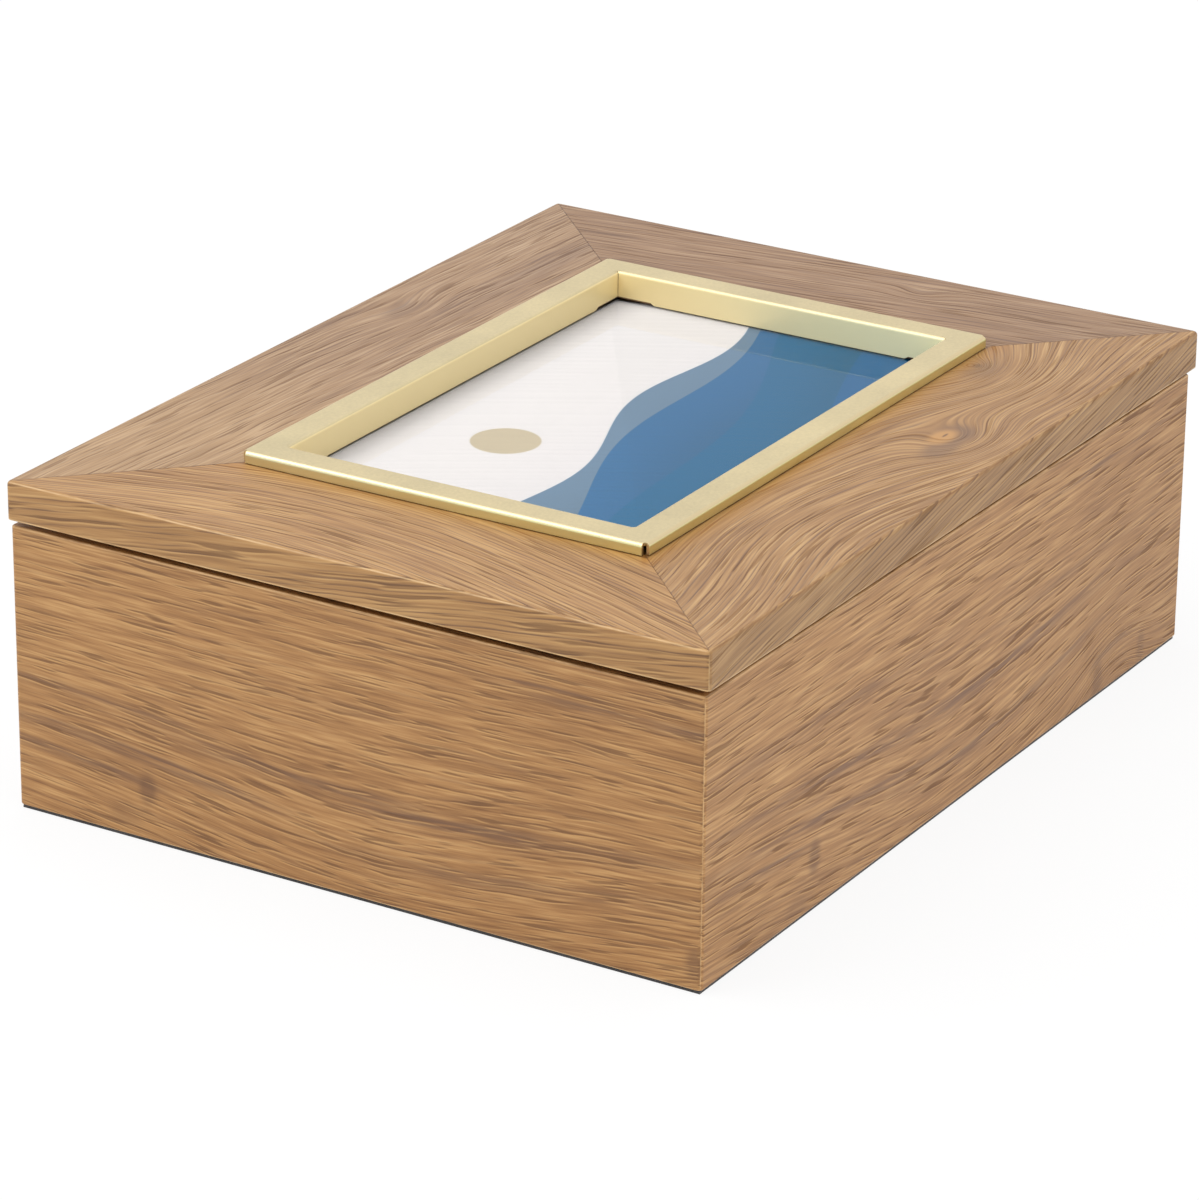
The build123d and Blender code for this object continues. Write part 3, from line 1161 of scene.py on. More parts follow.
        # The pale edges are partly real, paled by handling, and partly a painted highlight where the rounded
        # arrises catch the light.
        given = {"Point": point, "Middle": middle, "Half": half, "Width": self.wear_width}
        wear_and_highlight = ArrisWear.place(graph, given)["Mask"]
        upper = graph.step(axes[2], middle.z, high.z / MM - self.arris_depth)
        rim = graph.blend(upper, self.tinted(PALE_OAK), self.tinted(self.arris))
        colour = graph.blend(graph.product(wear_and_highlight, self.wear_strength), colour, rim)
        if self.joint:
            given = {"Point": point, "Half": half, "Width": self.joint_width}
            line = graph.product(MitreLine.place(graph, given)["Mask"], graph.math("SUBTRACT", 1.0, edge))
            colour = graph.blend(graph.product(line, self.joint), colour, srgb(*self.joint_colour))
        rough = graph.total(
            self.roughness,
            graph.product(figure["Pores"], self.pore_roughness),
            graph.product(wear_and_highlight, self.wear_roughness),
        )
        finish.set(Base_Color=colour, Roughness=rough, Specular_IOR_Level=self.specular)
        finish.emboss(figure["Height"], self.relief)
        return finish.material


@dataclass(frozen=True)
class Zone:
    """A part of a metal surround with its own colour, roughness and metalness, told by a rectangle, in
    millimetres; on the walls and skirts that colour is painted light.

    The zone is full where a point lies as far outside the rectangle as near says, and ends at far.
    """

    half: Pair
    near: float
    far: float
    back_colour: Colour
    front_colour: Colour
    roughness: float
    metal: float = 1.0
    relief: float = 1.0

    def mask(self, graph: Graph, point: Value) -> Socket:
        """Mask of the zone.

        Args:
            graph: the material's tree
            point: point in millimetres

        Returns:
            The mask's socket.
        """
        distance = graph.outside(point, (*self.half, 0))
        if self.near < self.far:
            return graph.step(distance, self.near, self.far, 1.0, 0.0)
        return graph.step(distance, self.far, self.near)

    def colour(self, graph: Graph, point: Value) -> Socket:
        """Colour of the zone, which changes from the front to the back.

        Args:
            graph: the material's tree
            point: point in millimetres

        Returns:
            The colour's socket.
        """
        _, toward_back, _ = graph.parts(point)
        backness = graph.step(toward_back, -self.half[1], self.half[1])
        return graph.blend(backness, srgb(*self.front_colour), srgb(*self.back_colour))


@dataclass(frozen=True)
class MetalFinish:
    """Brushed metal, with zones where it has some."""

    name: str
    colour: Colour
    roughness: float
    stretch: Triple
    depth: float
    clouding: float = 0.08
    brushing: float = 0.06
    darkest: float = 0.94
    lightest: float = 1.04
    shade_range: Pair = (0.3, 0.7)
    zones: tuple[Zone, ...] = ()

    def build(self) -> bpy.types.Material:
        """Wires the metal's material."""
        finish = Finish(self.name)
        graph = finish.graph
        lines = BrushedLines.place(graph, {"Point": finish.point, "Stretch": self.stretch})
        shade = graph.total(graph.product(lines["Height"], 0.5), graph.product(lines["Cloud"], 0.5))
        share = graph.spread(shade, *self.shade_range)
        colour = graph.blend(share, shaded(self.colour, self.darkest), shaded(self.colour, self.lightest))
        roughness: Value = self.roughness
        metal: Value = 1.0
        relief: Value = 1.0
        for zone in self.zones:
            share = zone.mask(graph, finish.point)
            colour = graph.blend(share, colour, zone.colour(graph, finish.point))
            roughness = graph.total(roughness, graph.product(share, zone.roughness - self.roughness))
            metal = graph.total(metal, graph.product(share, zone.metal - 1.0))
            relief = graph.total(relief, graph.product(share, zone.relief - 1.0))
        clouded = graph.product(graph.centred(lines["Cloud"]), self.clouding)
        brushed = graph.product(graph.centred(lines["Height"]), self.brushing)
        finish.set(Base_Color=colour, Metallic=metal, Roughness=graph.total(roughness, clouded, brushed))
        finish.emboss(graph.product(lines["Height"], relief), self.depth)
        return finish.material


@dataclass(frozen=True)
class GlassFinish:
    """Low-glare picture glass that lets lamps through to the print."""

    name: str = "clear_glass"
    colour: tuple[float, ...] = (0.985, 0.995, 0.99, 1.0)
    index: float = 1.20
    smears: Waves = Waves((0.03, 0.08, 0.05), 3.0, 0.6)
    smeared: Step = Step(0.45, 0.75, 0.0, 0.02)

    def build(self) -> bpy.types.Material:
        """Wires the glass, with faint wipe marks in its roughness."""
        finish = Finish(self.name)
        graph = finish.graph
        finish.set(
            Base_Color=self.colour,
            Roughness=graph.step(graph.noise(finish.point, *self.smears), *self.smeared),
            Transmission_Weight=1.0,
            IOR=self.index,
        )
        clear = graph.node("BsdfTransparent")
        lamp_ray = graph.node("LightPath").outputs["Is Shadow Ray"]
        mixed = graph.node("MixShader", {0: lamp_ray, 1: finish.shader.outputs[0], 2: clear.outputs[0]})
        graph.feed(finish.output.inputs[0], mixed.outputs[0])
        return finish.material


@dataclass(frozen=True)
class Ridge:
    """A hill's outline in the print, as shares of its half length and half width."""

    level: float
    rise: float
    swell: float
    pace: float
    phase: float
    colour: Colour


@dataclass(frozen=True)
class PrintFinish:
    """Satin print of layered blue hills under a pale sky."""

    half_length: float
    half_width: float
    name: str = "hill_print"
    low_sky: Colour = (251, 248, 248)
    high_sky: Colour = (254, 251, 250)
    sky_step: Step = Step(-0.4, 0.4)
    sun: Pair = (-0.34, 0.34)
    sun_radius: float = 0.16
    sun_edge: float = 0.012
    sun_colour: Colour = (236, 226, 204)
    ridges: tuple[Ridge, ...] = (
        Ridge(0.02, 0.20, 0.075, 5.2, 0.6, (150, 182, 205)),
        Ridge(-0.14, 0.30, 0.085, 3.7, 2.1, (60, 150, 200)),
        Ridge(-0.40, 0.36, 0.100, 2.9, 4.0, (24, 145, 192)),
        Ridge(-0.86, 0.30, 0.110, 2.3, 5.3, (24, 140, 194)),
    )
    ridge_edge: Step = Step(0.0, 0.008)
    ridge_fade: Step = Step(0.0, 0.7)
    ridge_foot: float = 0.9
    tooth_colour: Colour = (190, 196, 200)
    tooth_strength: float = 0.03
    roughness: float = 0.38
    tooth_roughness: float = 0.1
    relief: float = 0.006 * MM

    def build(self) -> bpy.types.Material:
        """Wires the print: a sky, a sun disc and one layer a hill."""
        finish = Finish(self.name)
        graph = finish.graph
        scale = (MM / self.half_length, MM / self.half_width, 1)
        across, up, _ = graph.parts(graph.vector("MULTIPLY", finish.point, scale))
        sky = graph.step(up, *self.sky_step)
        picture = graph.blend(sky, srgb(*self.low_sky), srgb(*self.high_sky))
        ratio = self.half_length / self.half_width
        sun_offset = graph.join(
            graph.product(graph.math("SUBTRACT", across, self.sun[0]), ratio),
            graph.math("SUBTRACT", up, self.sun[1]),
            0.0,
        )
        rim = self.sun_radius + self.sun_edge
        disc = graph.step(graph.length(sun_offset), self.sun_radius, rim, 1.0, 0.0)
        picture = graph.blend(disc, picture, srgb(*self.sun_colour))
        for ridge in self.ridges:
            swell = graph.math("SINE", graph.total(graph.product(across, ridge.pace), ridge.phase))
            outline = graph.total(
                ridge.level, graph.product(across, ridge.rise), graph.product(swell, ridge.swell)
            )
            below = graph.math("SUBTRACT", outline, up)
            fade = graph.step(below, *self.ridge_fade)
            tint = graph.blend(fade, srgb(*ridge.colour), shaded(ridge.colour, self.ridge_foot))
            picture = graph.blend(graph.step(below, *self.ridge_edge), picture, tint)
        tooth = PaperFibre.place(graph, {"Point": finish.point})["Height"]
        worn = graph.product(tooth, self.tooth_strength)
        finish.set(
            Base_Color=graph.blend(worn, picture, srgb(*self.tooth_colour)),
            Roughness=graph.total(self.roughness, graph.product(tooth, self.tooth_roughness)),
        )
        finish.emboss(tooth, self.relief)
        return finish.material


@dataclass(frozen=True)
class FibreFinish:
    """Matt fibrous surface: felt, or soft rubber with a small depth."""

    name: str
    dark: Colour
    light: Colour
    depth: float
    sheen: float = 0.0
    sheen_roughness: float = 0.6
    tone_range: Pair = (0.35, 0.7)
    roughness: Step = Step(0.3, 0.8, 0.98, 0.85)

    def build(self) -> bpy.types.Material:
        """Wires the fibres' material."""
        finish = Finish(self.name)
        graph = finish.graph
        fibres = FeltFibres.place(graph, {"Point": finish.point})
        tone = graph.spread(fibres["Tone"], *self.tone_range)
        finish.set(
            Base_Color=graph.blend(tone, srgb(*self.dark), srgb(*self.light)),
            Roughness=graph.step(fibres["Height"], *self.roughness),
            Sheen_Weight=self.sheen,
            Sheen_Roughness=self.sheen_roughness,
        )
        finish.emboss(fibres["Height"], self.depth)
        return finish.material


@dataclass(frozen=True)
class BoardFinish:
    """Pressed board with specks of fibre."""

    name: str
    colour: Colour
    speck: Colour
    speck_strength: float = 0.6
    mottle: Waves = Waves((0.15, 0.15, 0.15), 3.0)
    mottled: Step = Step(0.35, 0.7)
    lightest: float = 1.12
    roughness: Step = Step(0.3, 0.7, 0.62, 0.85)
    relief: float = 0.04 * MM

    def build(self) -> bpy.types.Material:
        """Wires the board's material."""
        finish = Finish(self.name)
        graph = finish.graph
        paper = PaperFibre.place(graph, {"Point": finish.point})
        cloud = graph.step(graph.noise(finish.point, *self.mottle), *self.mottled)
        colour = graph.blend(cloud, srgb(*self.colour), shaded(self.colour, self.lightest))
        specks = graph.product(paper["Specks"], self.speck_strength)
        finish.set(
            Base_Color=graph.blend(specks, colour, srgb(*self.speck)),
            Roughness=graph.step(paper["Height"], *self.roughness),
        )
        finish.emboss(paper["Height"], self.relief)
        return finish.material


# ---------------------------------------------------------------- wooden frames
@dataclass(frozen=True)
class HingeSeats:
    """Seats for two hinge leaves in a level face of the back board.

    The board lies above the face where into is 1, and below it where into is -1.
    """

    leaf: str
    level: float
    into: int
    play: float = 0.2 * MM
    depth: float = 0.35 * MM
    past: float = 1.0 * MM

    def cutters(self) -> Iterator[Workpiece]:
        """Makes the seats' cutters.

        Yields:
            The cutter of each seat, from outside the face to the seat's floor.
        """
        lowest, highest = sorted((self.level - self.into * self.past, self.level + self.into * self.depth))
        for hinge in HINGES:
            low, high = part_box(f"{hinge}_{self.leaf}")
            yield Workpiece.block(
                "seat_cutter",
                Vector((low.x - self.play, low.y - self.play, lowest)),
                Vector((high.x + self.play, high.y + self.past, highest)),
            )


@dataclass(frozen=True)
class MitredFrame:
    """Four mitred boards that are sawn from one rounded block.

    The boards reach in to the inner rectangle above the ledge, and only to the rebate below it.
    """

    low: Vector
    high: Vector
    inner: Corners
    rebate: Corners
    ledge: float
    corner_radius: float = 1.2 * MM
    top_arris: float = 1.0 * MM
    lower_arris: float = 0.6 * MM
    joint_groove: float = 0.10 * MM
    corner_steps: int = 6
    arris_steps: int = 5

    @classmethod
    def around(cls, nodes: str, rebate: Corners, ledge: float, **arrises: float) -> "MitredFrame":
        """Takes a frame's sizes from its four boards' CAD nodes.

        Args:
            nodes: name of the nodes, with {} for the side
            rebate: lowest and highest corner of the rebate
            ledge: level of the ledge
            arrises: widths of its arrises, where they are its own

        Returns:
            The frame.
        """
        left, right, front, back = [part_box(nodes.format(side)) for side in ("left", "right", "front", "back")]
        low = Vector((left[0].x, front[0].y, left[0].z))
        high = Vector((right[1].x, back[1].y, left[1].z))
        inner = (Vector((left[1].x, front[1].y, low.z)), Vector((right[0].x, back[0].y, low.z)))
        return cls(low, high, inner, rebate, ledge, **arrises)

    def blank(self) -> Workpiece:
        """Makes the block that the boards are sawn from.

        Returns:
            The block with its rounded corners and arrises.
        """
        block = Workpiece.block("blank", self.low, self.high)
        with block.editing():
            block.pick(Pick.EDGES, is_upright)
            block.round_edges(self.corner_radius, self.corner_steps)
            for face, arris in ((self.high, self.top_arris), (self.low, self.lower_arris)):
                block.pick(Pick.EDGES, on_plane(face, UP))
                block.round_edges(arris, self.arris_steps)
        return block

    def corner(self, side: Side, end: int, rectangle: Corners) -> Vector:
        """A corner of a rectangle, at one end of a side.

        Args:
            side: the side
            end: -1 or 1 along it
            rectangle: the rectangle's lowest and highest corner

        Returns:
            The corner, level with the rectangle's lowest corner.
        """
        low, high = rectangle
        half = (high - low) / 2
        reach = side.outward + side.along * end
        middle = (low + high) / 2
        return Vector((middle.x + half.x * reach.x, middle.y + half.y * reach.y, low.z))

    def board(self, side: Side, blank: Workpiece, name: str) -> Workpiece:
        """Saws one board from a copy of the block.

        Args:
            side: which board
            blank: the rounded block
            name: the board's name

        Returns:
            The board with its rebate and mitres.
        """
        out = side.outward
        inner_point = self.corner(side, 1, self.inner)
        rebate_point = self.corner(side, 1, self.rebate)
        lip = abs((rebate_point - inner_point).dot(out))
        ledge_point = Vector((0, 0, self.ledge))
        board = blank.copy(name)
        with board.editing():
            board.saw(rebate_point, -out)
            board.pick(Pick.FACES, on_plane(rebate_point, out))
            board.saw(ledge_point, UP, drop=False)
            board.pick(Pick.FACES, both(on_plane(rebate_point, out), beyond(ledge_point, UP)))
            board.extrude(-out * lip)
            for end in (-1, 1):
                outer = self.corner(side, end, (self.low, self.high))
                toward = self.corner(side, end, self.inner) - outer
                normal = Vector((toward.x, toward.y, 0)).normalized().cross(UP)
                if normal.dot(side.along) * end < 0:
                    normal.negate()
                bpy.ops.mesh.select_all(action="SELECT")
                board.saw(outer, normal)
            top = on_plane(self.high, UP)
            board.pick(Pick.EDGES, lambda edge: top(edge) and self._is_mitre(edge, side))
            board.round_edges(self.joint_groove, 1)
            bpy.ops.mesh.select_all(action="SELECT")
            bpy.ops.mesh.remove_doubles(threshold=WELD)
            bpy.ops.mesh.normals_make_consistent(inside=False)
        return board

    @staticmethod
    def _is_mitre(edge: bmesh.types.BMEdge, side: Side) -> bool:
        """True for an edge that runs slantwise in plan, as the mitres do."""
        run = edge.verts[0].co - edge.verts[1].co
        return run.length > 2 * MM and abs(run.dot(side.along)) > MM and abs(run.dot(side.outward)) > MM

    def build(self, body: str, nodes: str, seats: HingeSeats, finishes: dict[Side, OakFinish]) -> None:
        """Builds and dresses the four boards.

        Args:
            body: CAD body that they ride on
            nodes: name of their CAD nodes, with {} for the side
            seats: seats of the hinge leaves in the back board
            finishes: each board's finish
        """
        blank = self.blank()
        for side, finish in finishes.items():
            node = nodes.format(side.name.lower())
            board = self.board(side, blank, f"oak_{node}")
            if side is Side.BACK:
                for cutter in seats.cutters():
                    board.carve(cutter)
            board.smooth()
            board.install(body, "oak", finish.build(), node)
        blank.discard()


@dataclass(frozen=True)
class BoxCarcass:
    """The box: four mitred walls, a bottom panel, its felts and the bumpers."""

    rim_arris: float = 0.5 * MM
    felt_tooth: float = 0.12 * MM
    felt_scatter: float = 0.8
    felt_smoothing: float = 60.0
    felt_seed: int = 4
    lining_cuts: int = 46
    base_cuts: int = 30

    def build(self) -> None:
        """Builds and dresses the box."""
        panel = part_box("bottom_panel")
        walls = MitredFrame.around("{}_wall", panel, panel[1].z, top_arris=self.rim_arris)
        seats = HingeSeats("hinge_box_leaf", walls.high.z, -1)
        walls.build("box", "{}_wall", seats, self.finishes((walls.low, walls.high)))
        self.build_felts()
        plywood = OakFinish(
            "plain_plywood", GrainRun.LID_ALONG_X, seed=140.0, block=panel, tint=(1.06, 1.10, 1.20)
        )
        dress_node("bottom_panel", plywood.build())
        rubber = FibreFinish("soft_rubber", dark=(36, 36, 37), light=(52, 52, 53), depth=0.01 * MM)
        dress_node("lid_bumpers", rubber.build())

    @staticmethod
    def finishes(block: Corners) -> dict[Side, OakFinish]:
        """Finishes of the four walls, whose marks lie where the two walls in view show them.

        Args:
            block: lowest and highest corner of the walls

        Returns:
            The finish of each side.
        """
        across, along = GrainRun.WALL_ALONG_X, GrainRun.WALL_ALONG_Y
        shown = partial(
            OakFinish, block=block, wander=0.22, pitch=3.4, breadth=0.40, line_strength=0.25,
            pore_strength=0.58,
        )
        front = shown(
            "oak_front_wall", across, seed=31.0, tint=(1.02, 0.99, 0.92),
            swells=(
                Swell((0.0, 4.0), (80.0, 32.0), 12.0),
                Swell((84.0, -4.0), (18.0, 17.0), -11.0),
            ),
            streaks=(
                Streak((-20.0, 29.0), 0.9, 100.0, 0.85),
                Streak((-57.0, 22.0), 0.8, 60.0, 0.85),
                Streak((25.0, 14.5), 0.9, 55.0, 0.70),
                Streak((-92.0, 19.5), 0.7, 24.0, 0.80),
                Streak((82.0, 63.3), 0.5, 48.0, 0.90),
                Streak((-60.0, 47.0), 1.2, 60.0, 0.45),
                Streak((40.0, 40.0), 0.8, 50.0, 0.40),
                Streak((82.0, 12.0), 0.9, 12.0, 0.70),
            ),
            patches=(
                Patch((-68.7, 13.5), (2.8, 4.4), 0.62, KNOT_BROWN),
                Patch((-76.0, 4.0), (6.0, 3.0), 0.30, KNOT_BROWN),
                Patch((74.0, 4.5), (2.8, 6.0), 0.50, KNOT_BROWN),
                Patch((100.0, 35.0), (55.0, 60.0), 0.18, DUSKY_OAK),
                Patch((98.0, 5.0), (2.2, 5.0), 0.40, KNOT_BROWN),
            ),
        )
        left = shown(
            "oak_left_wall", along, seed=7.0, tint=(0.955, 0.918, 0.825),
            swells=(Swell((-5.0, 4.0), (75.0, 32.0), 11.0),),
            streaks=(
                Streak((-40.0, 26.5), 0.8, 48.0, 0.95),
                Streak((22.0, 28.0), 0.9, 42.0, 0.80),
                Streak((60.0, 22.5), 0.8, 45.0, 0.95),
                Streak((72.0, 34.0), 0.7, 30.0, 0.70),
                Streak((-35.0, 14.5), 1.0, 45.0, 0.60),
                Streak((75.0, 17.5), 0.7, 26.0, 0.85),
                Streak((-80.0, 61.8), 0.7, 32.0, 0.95),
                Streak((-52.0, 63.8), 0.5, 16.0, 0.80),
            ),
            patches=(
                Patch((55.7, 13.6), (2.6, 4.2), 0.62, KNOT_BROWN),
                Patch((62.0, 6.0), (5.0, 3.0), 0.28, KNOT_BROWN),
                Patch((-90.0, 7.0), (2.6, 4.2), 0.60, KNOT_BROWN),
            ),
        )
        back = OakFinish(
            "oak_back_wall", across, seed=83.0, block=block, slant=-0.02,
            swells=(Swell((30.0, 20.0), (60.0, 18.0), 9.0),),
            streaks=(Streak((-20.0, 30.0), 1.5, 80.0, 0.5), Streak((50.0, 48.0), 1.2, 40.0, 0.5)),
        )
        right = OakFinish(
            "oak_right_wall", along, seed=57.0, block=block, slant=0.02,
            swells=(Swell((-20.0, 40.0), (50.0, 18.0), -8.0),),
            streaks=(Streak((10.0, 33.0), 1.4, 70.0, 0.55), Streak((-50.0, 15.0), 1.4, 30.0, 0.5)),
        )
        return {Side.FRONT: front, Side.LEFT: left, Side.BACK: back, Side.RIGHT: right}

    def build_felts(self) -> None:
        """Builds the felt lining of the floor and the felt under the box."""
        felt = FibreFinish(
            "dark_felt", dark=(30, 29, 31), light=(58, 56, 58), depth=0.25 * MM, sheen=0.35
        ).build()
        sheets = (
            ("floor_lining", "felt_lining", self.lining_cuts),
            ("base_felt", "felt_base", self.base_cuts),
        )
        for node, name, cuts in sheets:
            low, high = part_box(node)
            sheet = Workpiece.block(name, low, high)
            with sheet.editing():
                sheet.pick(Pick.FACES, is_level)
                bpy.ops.mesh.subdivide(number_cuts=cuts)
                sheet.pick(Pick.VERTICES, both(on_plane(high, UP), lambda vertex: not vertex.is_boundary))
                bpy.ops.transform.translate(value=(0, 0, -self.felt_tooth))
                bpy.ops.transform.vertex_random(
                    offset=self.felt_tooth * self.felt_scatter, uniform=0.0, normal=1.0, seed=self.felt_seed
                )
            sheet.smooth(self.felt_smoothing)
            sheet.install("box", "felt", felt, node)


@dataclass(frozen=True)
class LidFrame:
    """The lid's four mitred rails."""

    pocket_play: float = 0.5 * MM
    under_arris: float = 0.25 * MM

    def build(self) -> None:
        """Builds and dresses the rails."""
        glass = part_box("glass_pane")
        play = Vector((self.pocket_play, self.pocket_play, 0))
        pocket = (glass[0] - play, glass[1] + play)
        rails = MitredFrame.around("lid_{}_rail", pocket, glass[1].z, lower_arris=self.under_arris)
        seats = HingeSeats("hinge_lid_leaf", rails.low.z, 1)
        rails.build("lid", "lid_{}_rail", seats, self.finishes((rails.low, rails.high)))

    @staticmethod
    def finishes(block: Corners) -> dict[Side, OakFinish]:
        """Finishes of the four rails, with their knots where they show.

        Args:
            block: lowest and highest corner of the rails

        Returns:
            The finish of each side.
        """
        gold = (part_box("picture_surround")[1] / MM)[:2]
        across, along = GrainRun.LID_ALONG_X, GrainRun.LID_ALONG_Y
        front = OakFinish(
            "oak_lid_front", across, seed=211.0, block=block, tint=(0.905, 0.89, 0.835),
            pitch=1.2, fineness=0.85,
            wander=0.35, line_strength=0.85, pore_strength=0.35, joint=0.5,
            arris=AMBER, edge_slant=-0.19, edge_pale=0.16, surround=gold,
            swells=(
                Swell((-45.0, -78.0), (46.0, 45.0), -14.0),
                Swell((20.7, -79.0), (15.0, 10.0), 13.0),
                Swell((64.0, -54.0), (24.0, 24.0), 22.0),
                Swell((67.5, -58.0), (3.8, 3.2), 8.0),
            ),
            patches=(
                Patch((24.0, -76.2), (7.0, 5.6), 0.62, KNOT_VIOLET, 0.15),
                Patch((13.5, -77.6), (9.0, 4.2), 0.55, KNOT_VIOLET, 0.15),
                Patch((20.3, -74.3), (6.6, 3.6), 0.90, HEART_GOLD, 0.25),
                Patch((21.6, -74.3), (1.7, 0.45), 0.80, KNOT_BROWN, 0.25),
                Patch((66.0, -60.0), (7.0, 5.0), 0.35, KNOT_VIOLET),
                Patch((67.8, -58.6), (1.8, 1.4), 0.75, KNOT_BROWN, 0.25),
            ),
        )
        back = OakFinish(
            "oak_lid_back", across, seed=173.0, block=block, tint=(0.87, 0.90, 0.99), pitch=1.1, fineness=0.8,
            line_strength=0.6, slant=0.06, joint=0.85, edge_slant=0.05,
            swells=(Swell((28.0, 80.0), (12.0, 7.0), 4.0),),
            streaks=(Streak((75.0, 70.0), 3.0, 50.0, 0.40),),
            patches=(
                Patch((27.0, 80.5), (8.0, 3.0), 0.35, KNOT_BROWN),
                # Painted light: a warmer, paler pool near the left end of the back rail.
                Patch((-105.0, 75.0), (75.0, 60.0), 0.15, LIT_OAK),
            ),
        )
        left = OakFinish(
            "oak_lid_left", along, seed=119.0, block=block, tint=(0.925, 0.90, 0.815),
            pitch=1.3, fineness=0.7,
            line_strength=0.85, pore_strength=0.55, joint=0.7, edge_slant=0.12, edge_pale=0.14,
            surround=gold,
            swells=(Swell((20.0, -100.0), (130.0, 400.0), -55.0),),
        )
        right = OakFinish(
            "oak_lid_right", along, seed=97.0, block=block, tint=(0.805, 0.81, 0.875),
            pitch=1.3, fineness=0.7,
            line_strength=0.6, slant=0.12, joint=0.85, edge_slant=0.05,
            swells=(Swell((-22.0, 106.0), (8.0, 5.0), 4.0),),
        )
        return {Side.FRONT: front, Side.BACK: back, Side.LEFT: left, Side.RIGHT: right}


# ---------------------------------------------------------------- picture
@dataclass(frozen=True)
class PictureSurround:
    """The metal surround: a flange with skirts folded down outside and walls folded down inside."""

    flange_width: float = 8.1 * MM
    sheet: float = 0.8 * MM
    outer_bend: float = 1.05 * MM
    inner_bend: float = 0.9 * MM
    window_corner: float = 2.0 * MM
    skirt_corner: float = 1.3 * MM
    skirt_lift: float = 0.15 * MM
    slit: float = 0.12 * MM
    seam: float = 0.16 * MM
    foot_cut_length: float = 10.0 * MM
    foot_cut_slope: float = 1.0 * MM
    foot_cut_height: float = 0.6 * MM
    bend_steps: int = 6
    burr_angle: float = 50.0
    burr: float = 0.08 * MM
    smoothing: float = 40.0

    def build(self) -> None:
        """Builds and dresses the surround."""
        low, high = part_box("picture_surround")
        flat = self.flange_width - self.inner_bend
        opening = high - Vector((flat, flat, 0))
        surround = self.folded_sheet(low, high, opening)
        surround.activate()
        thick = surround.body.modifiers.new("sheet", "SOLIDIFY")
        thick.thickness = self.sheet
        thick.offset = -1.0
        thick.use_even_offset = True
        bpy.ops.object.modifier_apply(modifier=thick.name)
        surround.soften(self.burr_angle, self.burr)
        surround.smooth(self.smoothing)
        window = (opening - Vector((self.inner_bend, self.inner_bend, 0))) / MM
        gold = MetalFinish(
            "brushed_gold", colour=(214, 199, 160), roughness=0.48, stretch=(1.2, 1.2, 6.0),
            depth=0.004 * MM, zones=self.zones(window[:2], (high / MM)[:2]),
        )
        surround.install("lid", "surround_metal", gold.build(), "picture_surround")

    @staticmethod
    def zones(window: Pair, outside: Pair) -> tuple[Zone, ...]:
        """Zones of the metal: the walls, then the outer bends, then the skirts; the pale colours of the walls
        and skirts are a painted reflection.

        Args:
            window: half sizes of the window, in millimetres
            outside: half sizes of the surround, in millimetres

        Returns:
            The zones, of which a later one covers an earlier one.
        """
        # Painted reflection: the walls are pale and barely metallic so that they look as bright as the light
        # they reflect, and paler toward the front to offset the shade there.
        walls = Zone(
            window, near=0.05, far=0.3, back_colour=(255, 232, 172), front_colour=(255, 250, 205),
            roughness=0.30, metal=0.1, relief=0.1,
        )
        bends = Zone(
            outside, near=-0.25, far=-1.1, back_colour=(222, 203, 164), front_colour=(220, 200, 158),
            roughness=0.34,
        )
        # Painted reflection: the skirts, the same sheet as the flange, get a paler, greener colour that stands
        # for the bright light they reflect.
        skirts = Zone(
            outside, near=-0.03, far=-0.16, back_colour=(232, 232, 190), front_colour=(238, 238, 180),
            roughness=0.48,
        )
        return walls, bends, skirts

    def folded_sheet(self, low: Vector, high: Vector, opening: Vector) -> Workpiece:
        """Folds the surround's outer skin, which has no thickness yet.

        Args:
            low: lowest corner of the surround
            high: its highest corner
            opening: half sizes of the window, before its walls are folded

        Returns:
            The skin, with its normals outward.
        """
        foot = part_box("lid_left_rail")[1].z + self.skirt_lift
        surround = Workpiece.block("gold_surround", Vector((low.x, low.y, foot)), high)
        top = on_plane(high, UP)
        with surround.editing():
            surround.pick(Pick.EDGES, lambda edge: not top(edge) and is_upright(edge))
            surround.round_edges(self.skirt_corner, self.bend_steps)
            surround.pick(Pick.EDGES, top)
            surround.round_edges(self.outer_bend, self.bend_steps)
            surround.pick(Pick.FACES, is_level)
            bpy.ops.mesh.delete(type="ONLY_FACE")
            self.cut_window(surround, high.z, opening)
            for side in Side:
                self.fold_wall(surround, side, opening, high.z, high.z - low.z)
            for across in (-1, 1):
                for along in (-1, 1):
                    self.cut_slit(surround, high, Vector((across, along, 0)))
            bpy.ops.mesh.select_all(action="SELECT")
            bpy.ops.mesh.normals_make_consistent(inside=False)
            if self.faces_down(surround, top):
                bpy.ops.mesh.flip_normals()
        return surround

    def cut_window(self, surround: Workpiece, top: float, opening: Vector) -> None:
        """Fills the top with a flat flange round a window with rounded corners.

        The window is laid out one sheet's thickness lower and raised once it is bridged, because
        the bridge follows the turn of two loops only where one lies above the other.

        Args:
            surround: the folded skirts
            top: level of the flange
            opening: half sizes of the window, before its walls are folded
        """
        bpy.ops.mesh.select_all(action="DESELECT")
        layout = Vector((0, 0, top - self.sheet))
        bpy.ops.mesh.primitive_plane_add(size=1.0, location=layout)
        bpy.ops.transform.resize(value=(opening.x * 2, opening.y * 2, 1), center_override=layout)
        surround.round_corners(self.window_corner, self.bend_steps)
        reach = opening + Vector((TOUCH, TOUCH, 0))

        def in_window(element: Element) -> bool:
            """Test for what belongs to the window's outline."""
            return all(abs(p.x) < reach.x and abs(p.y) < reach.y for p in points_of(element))

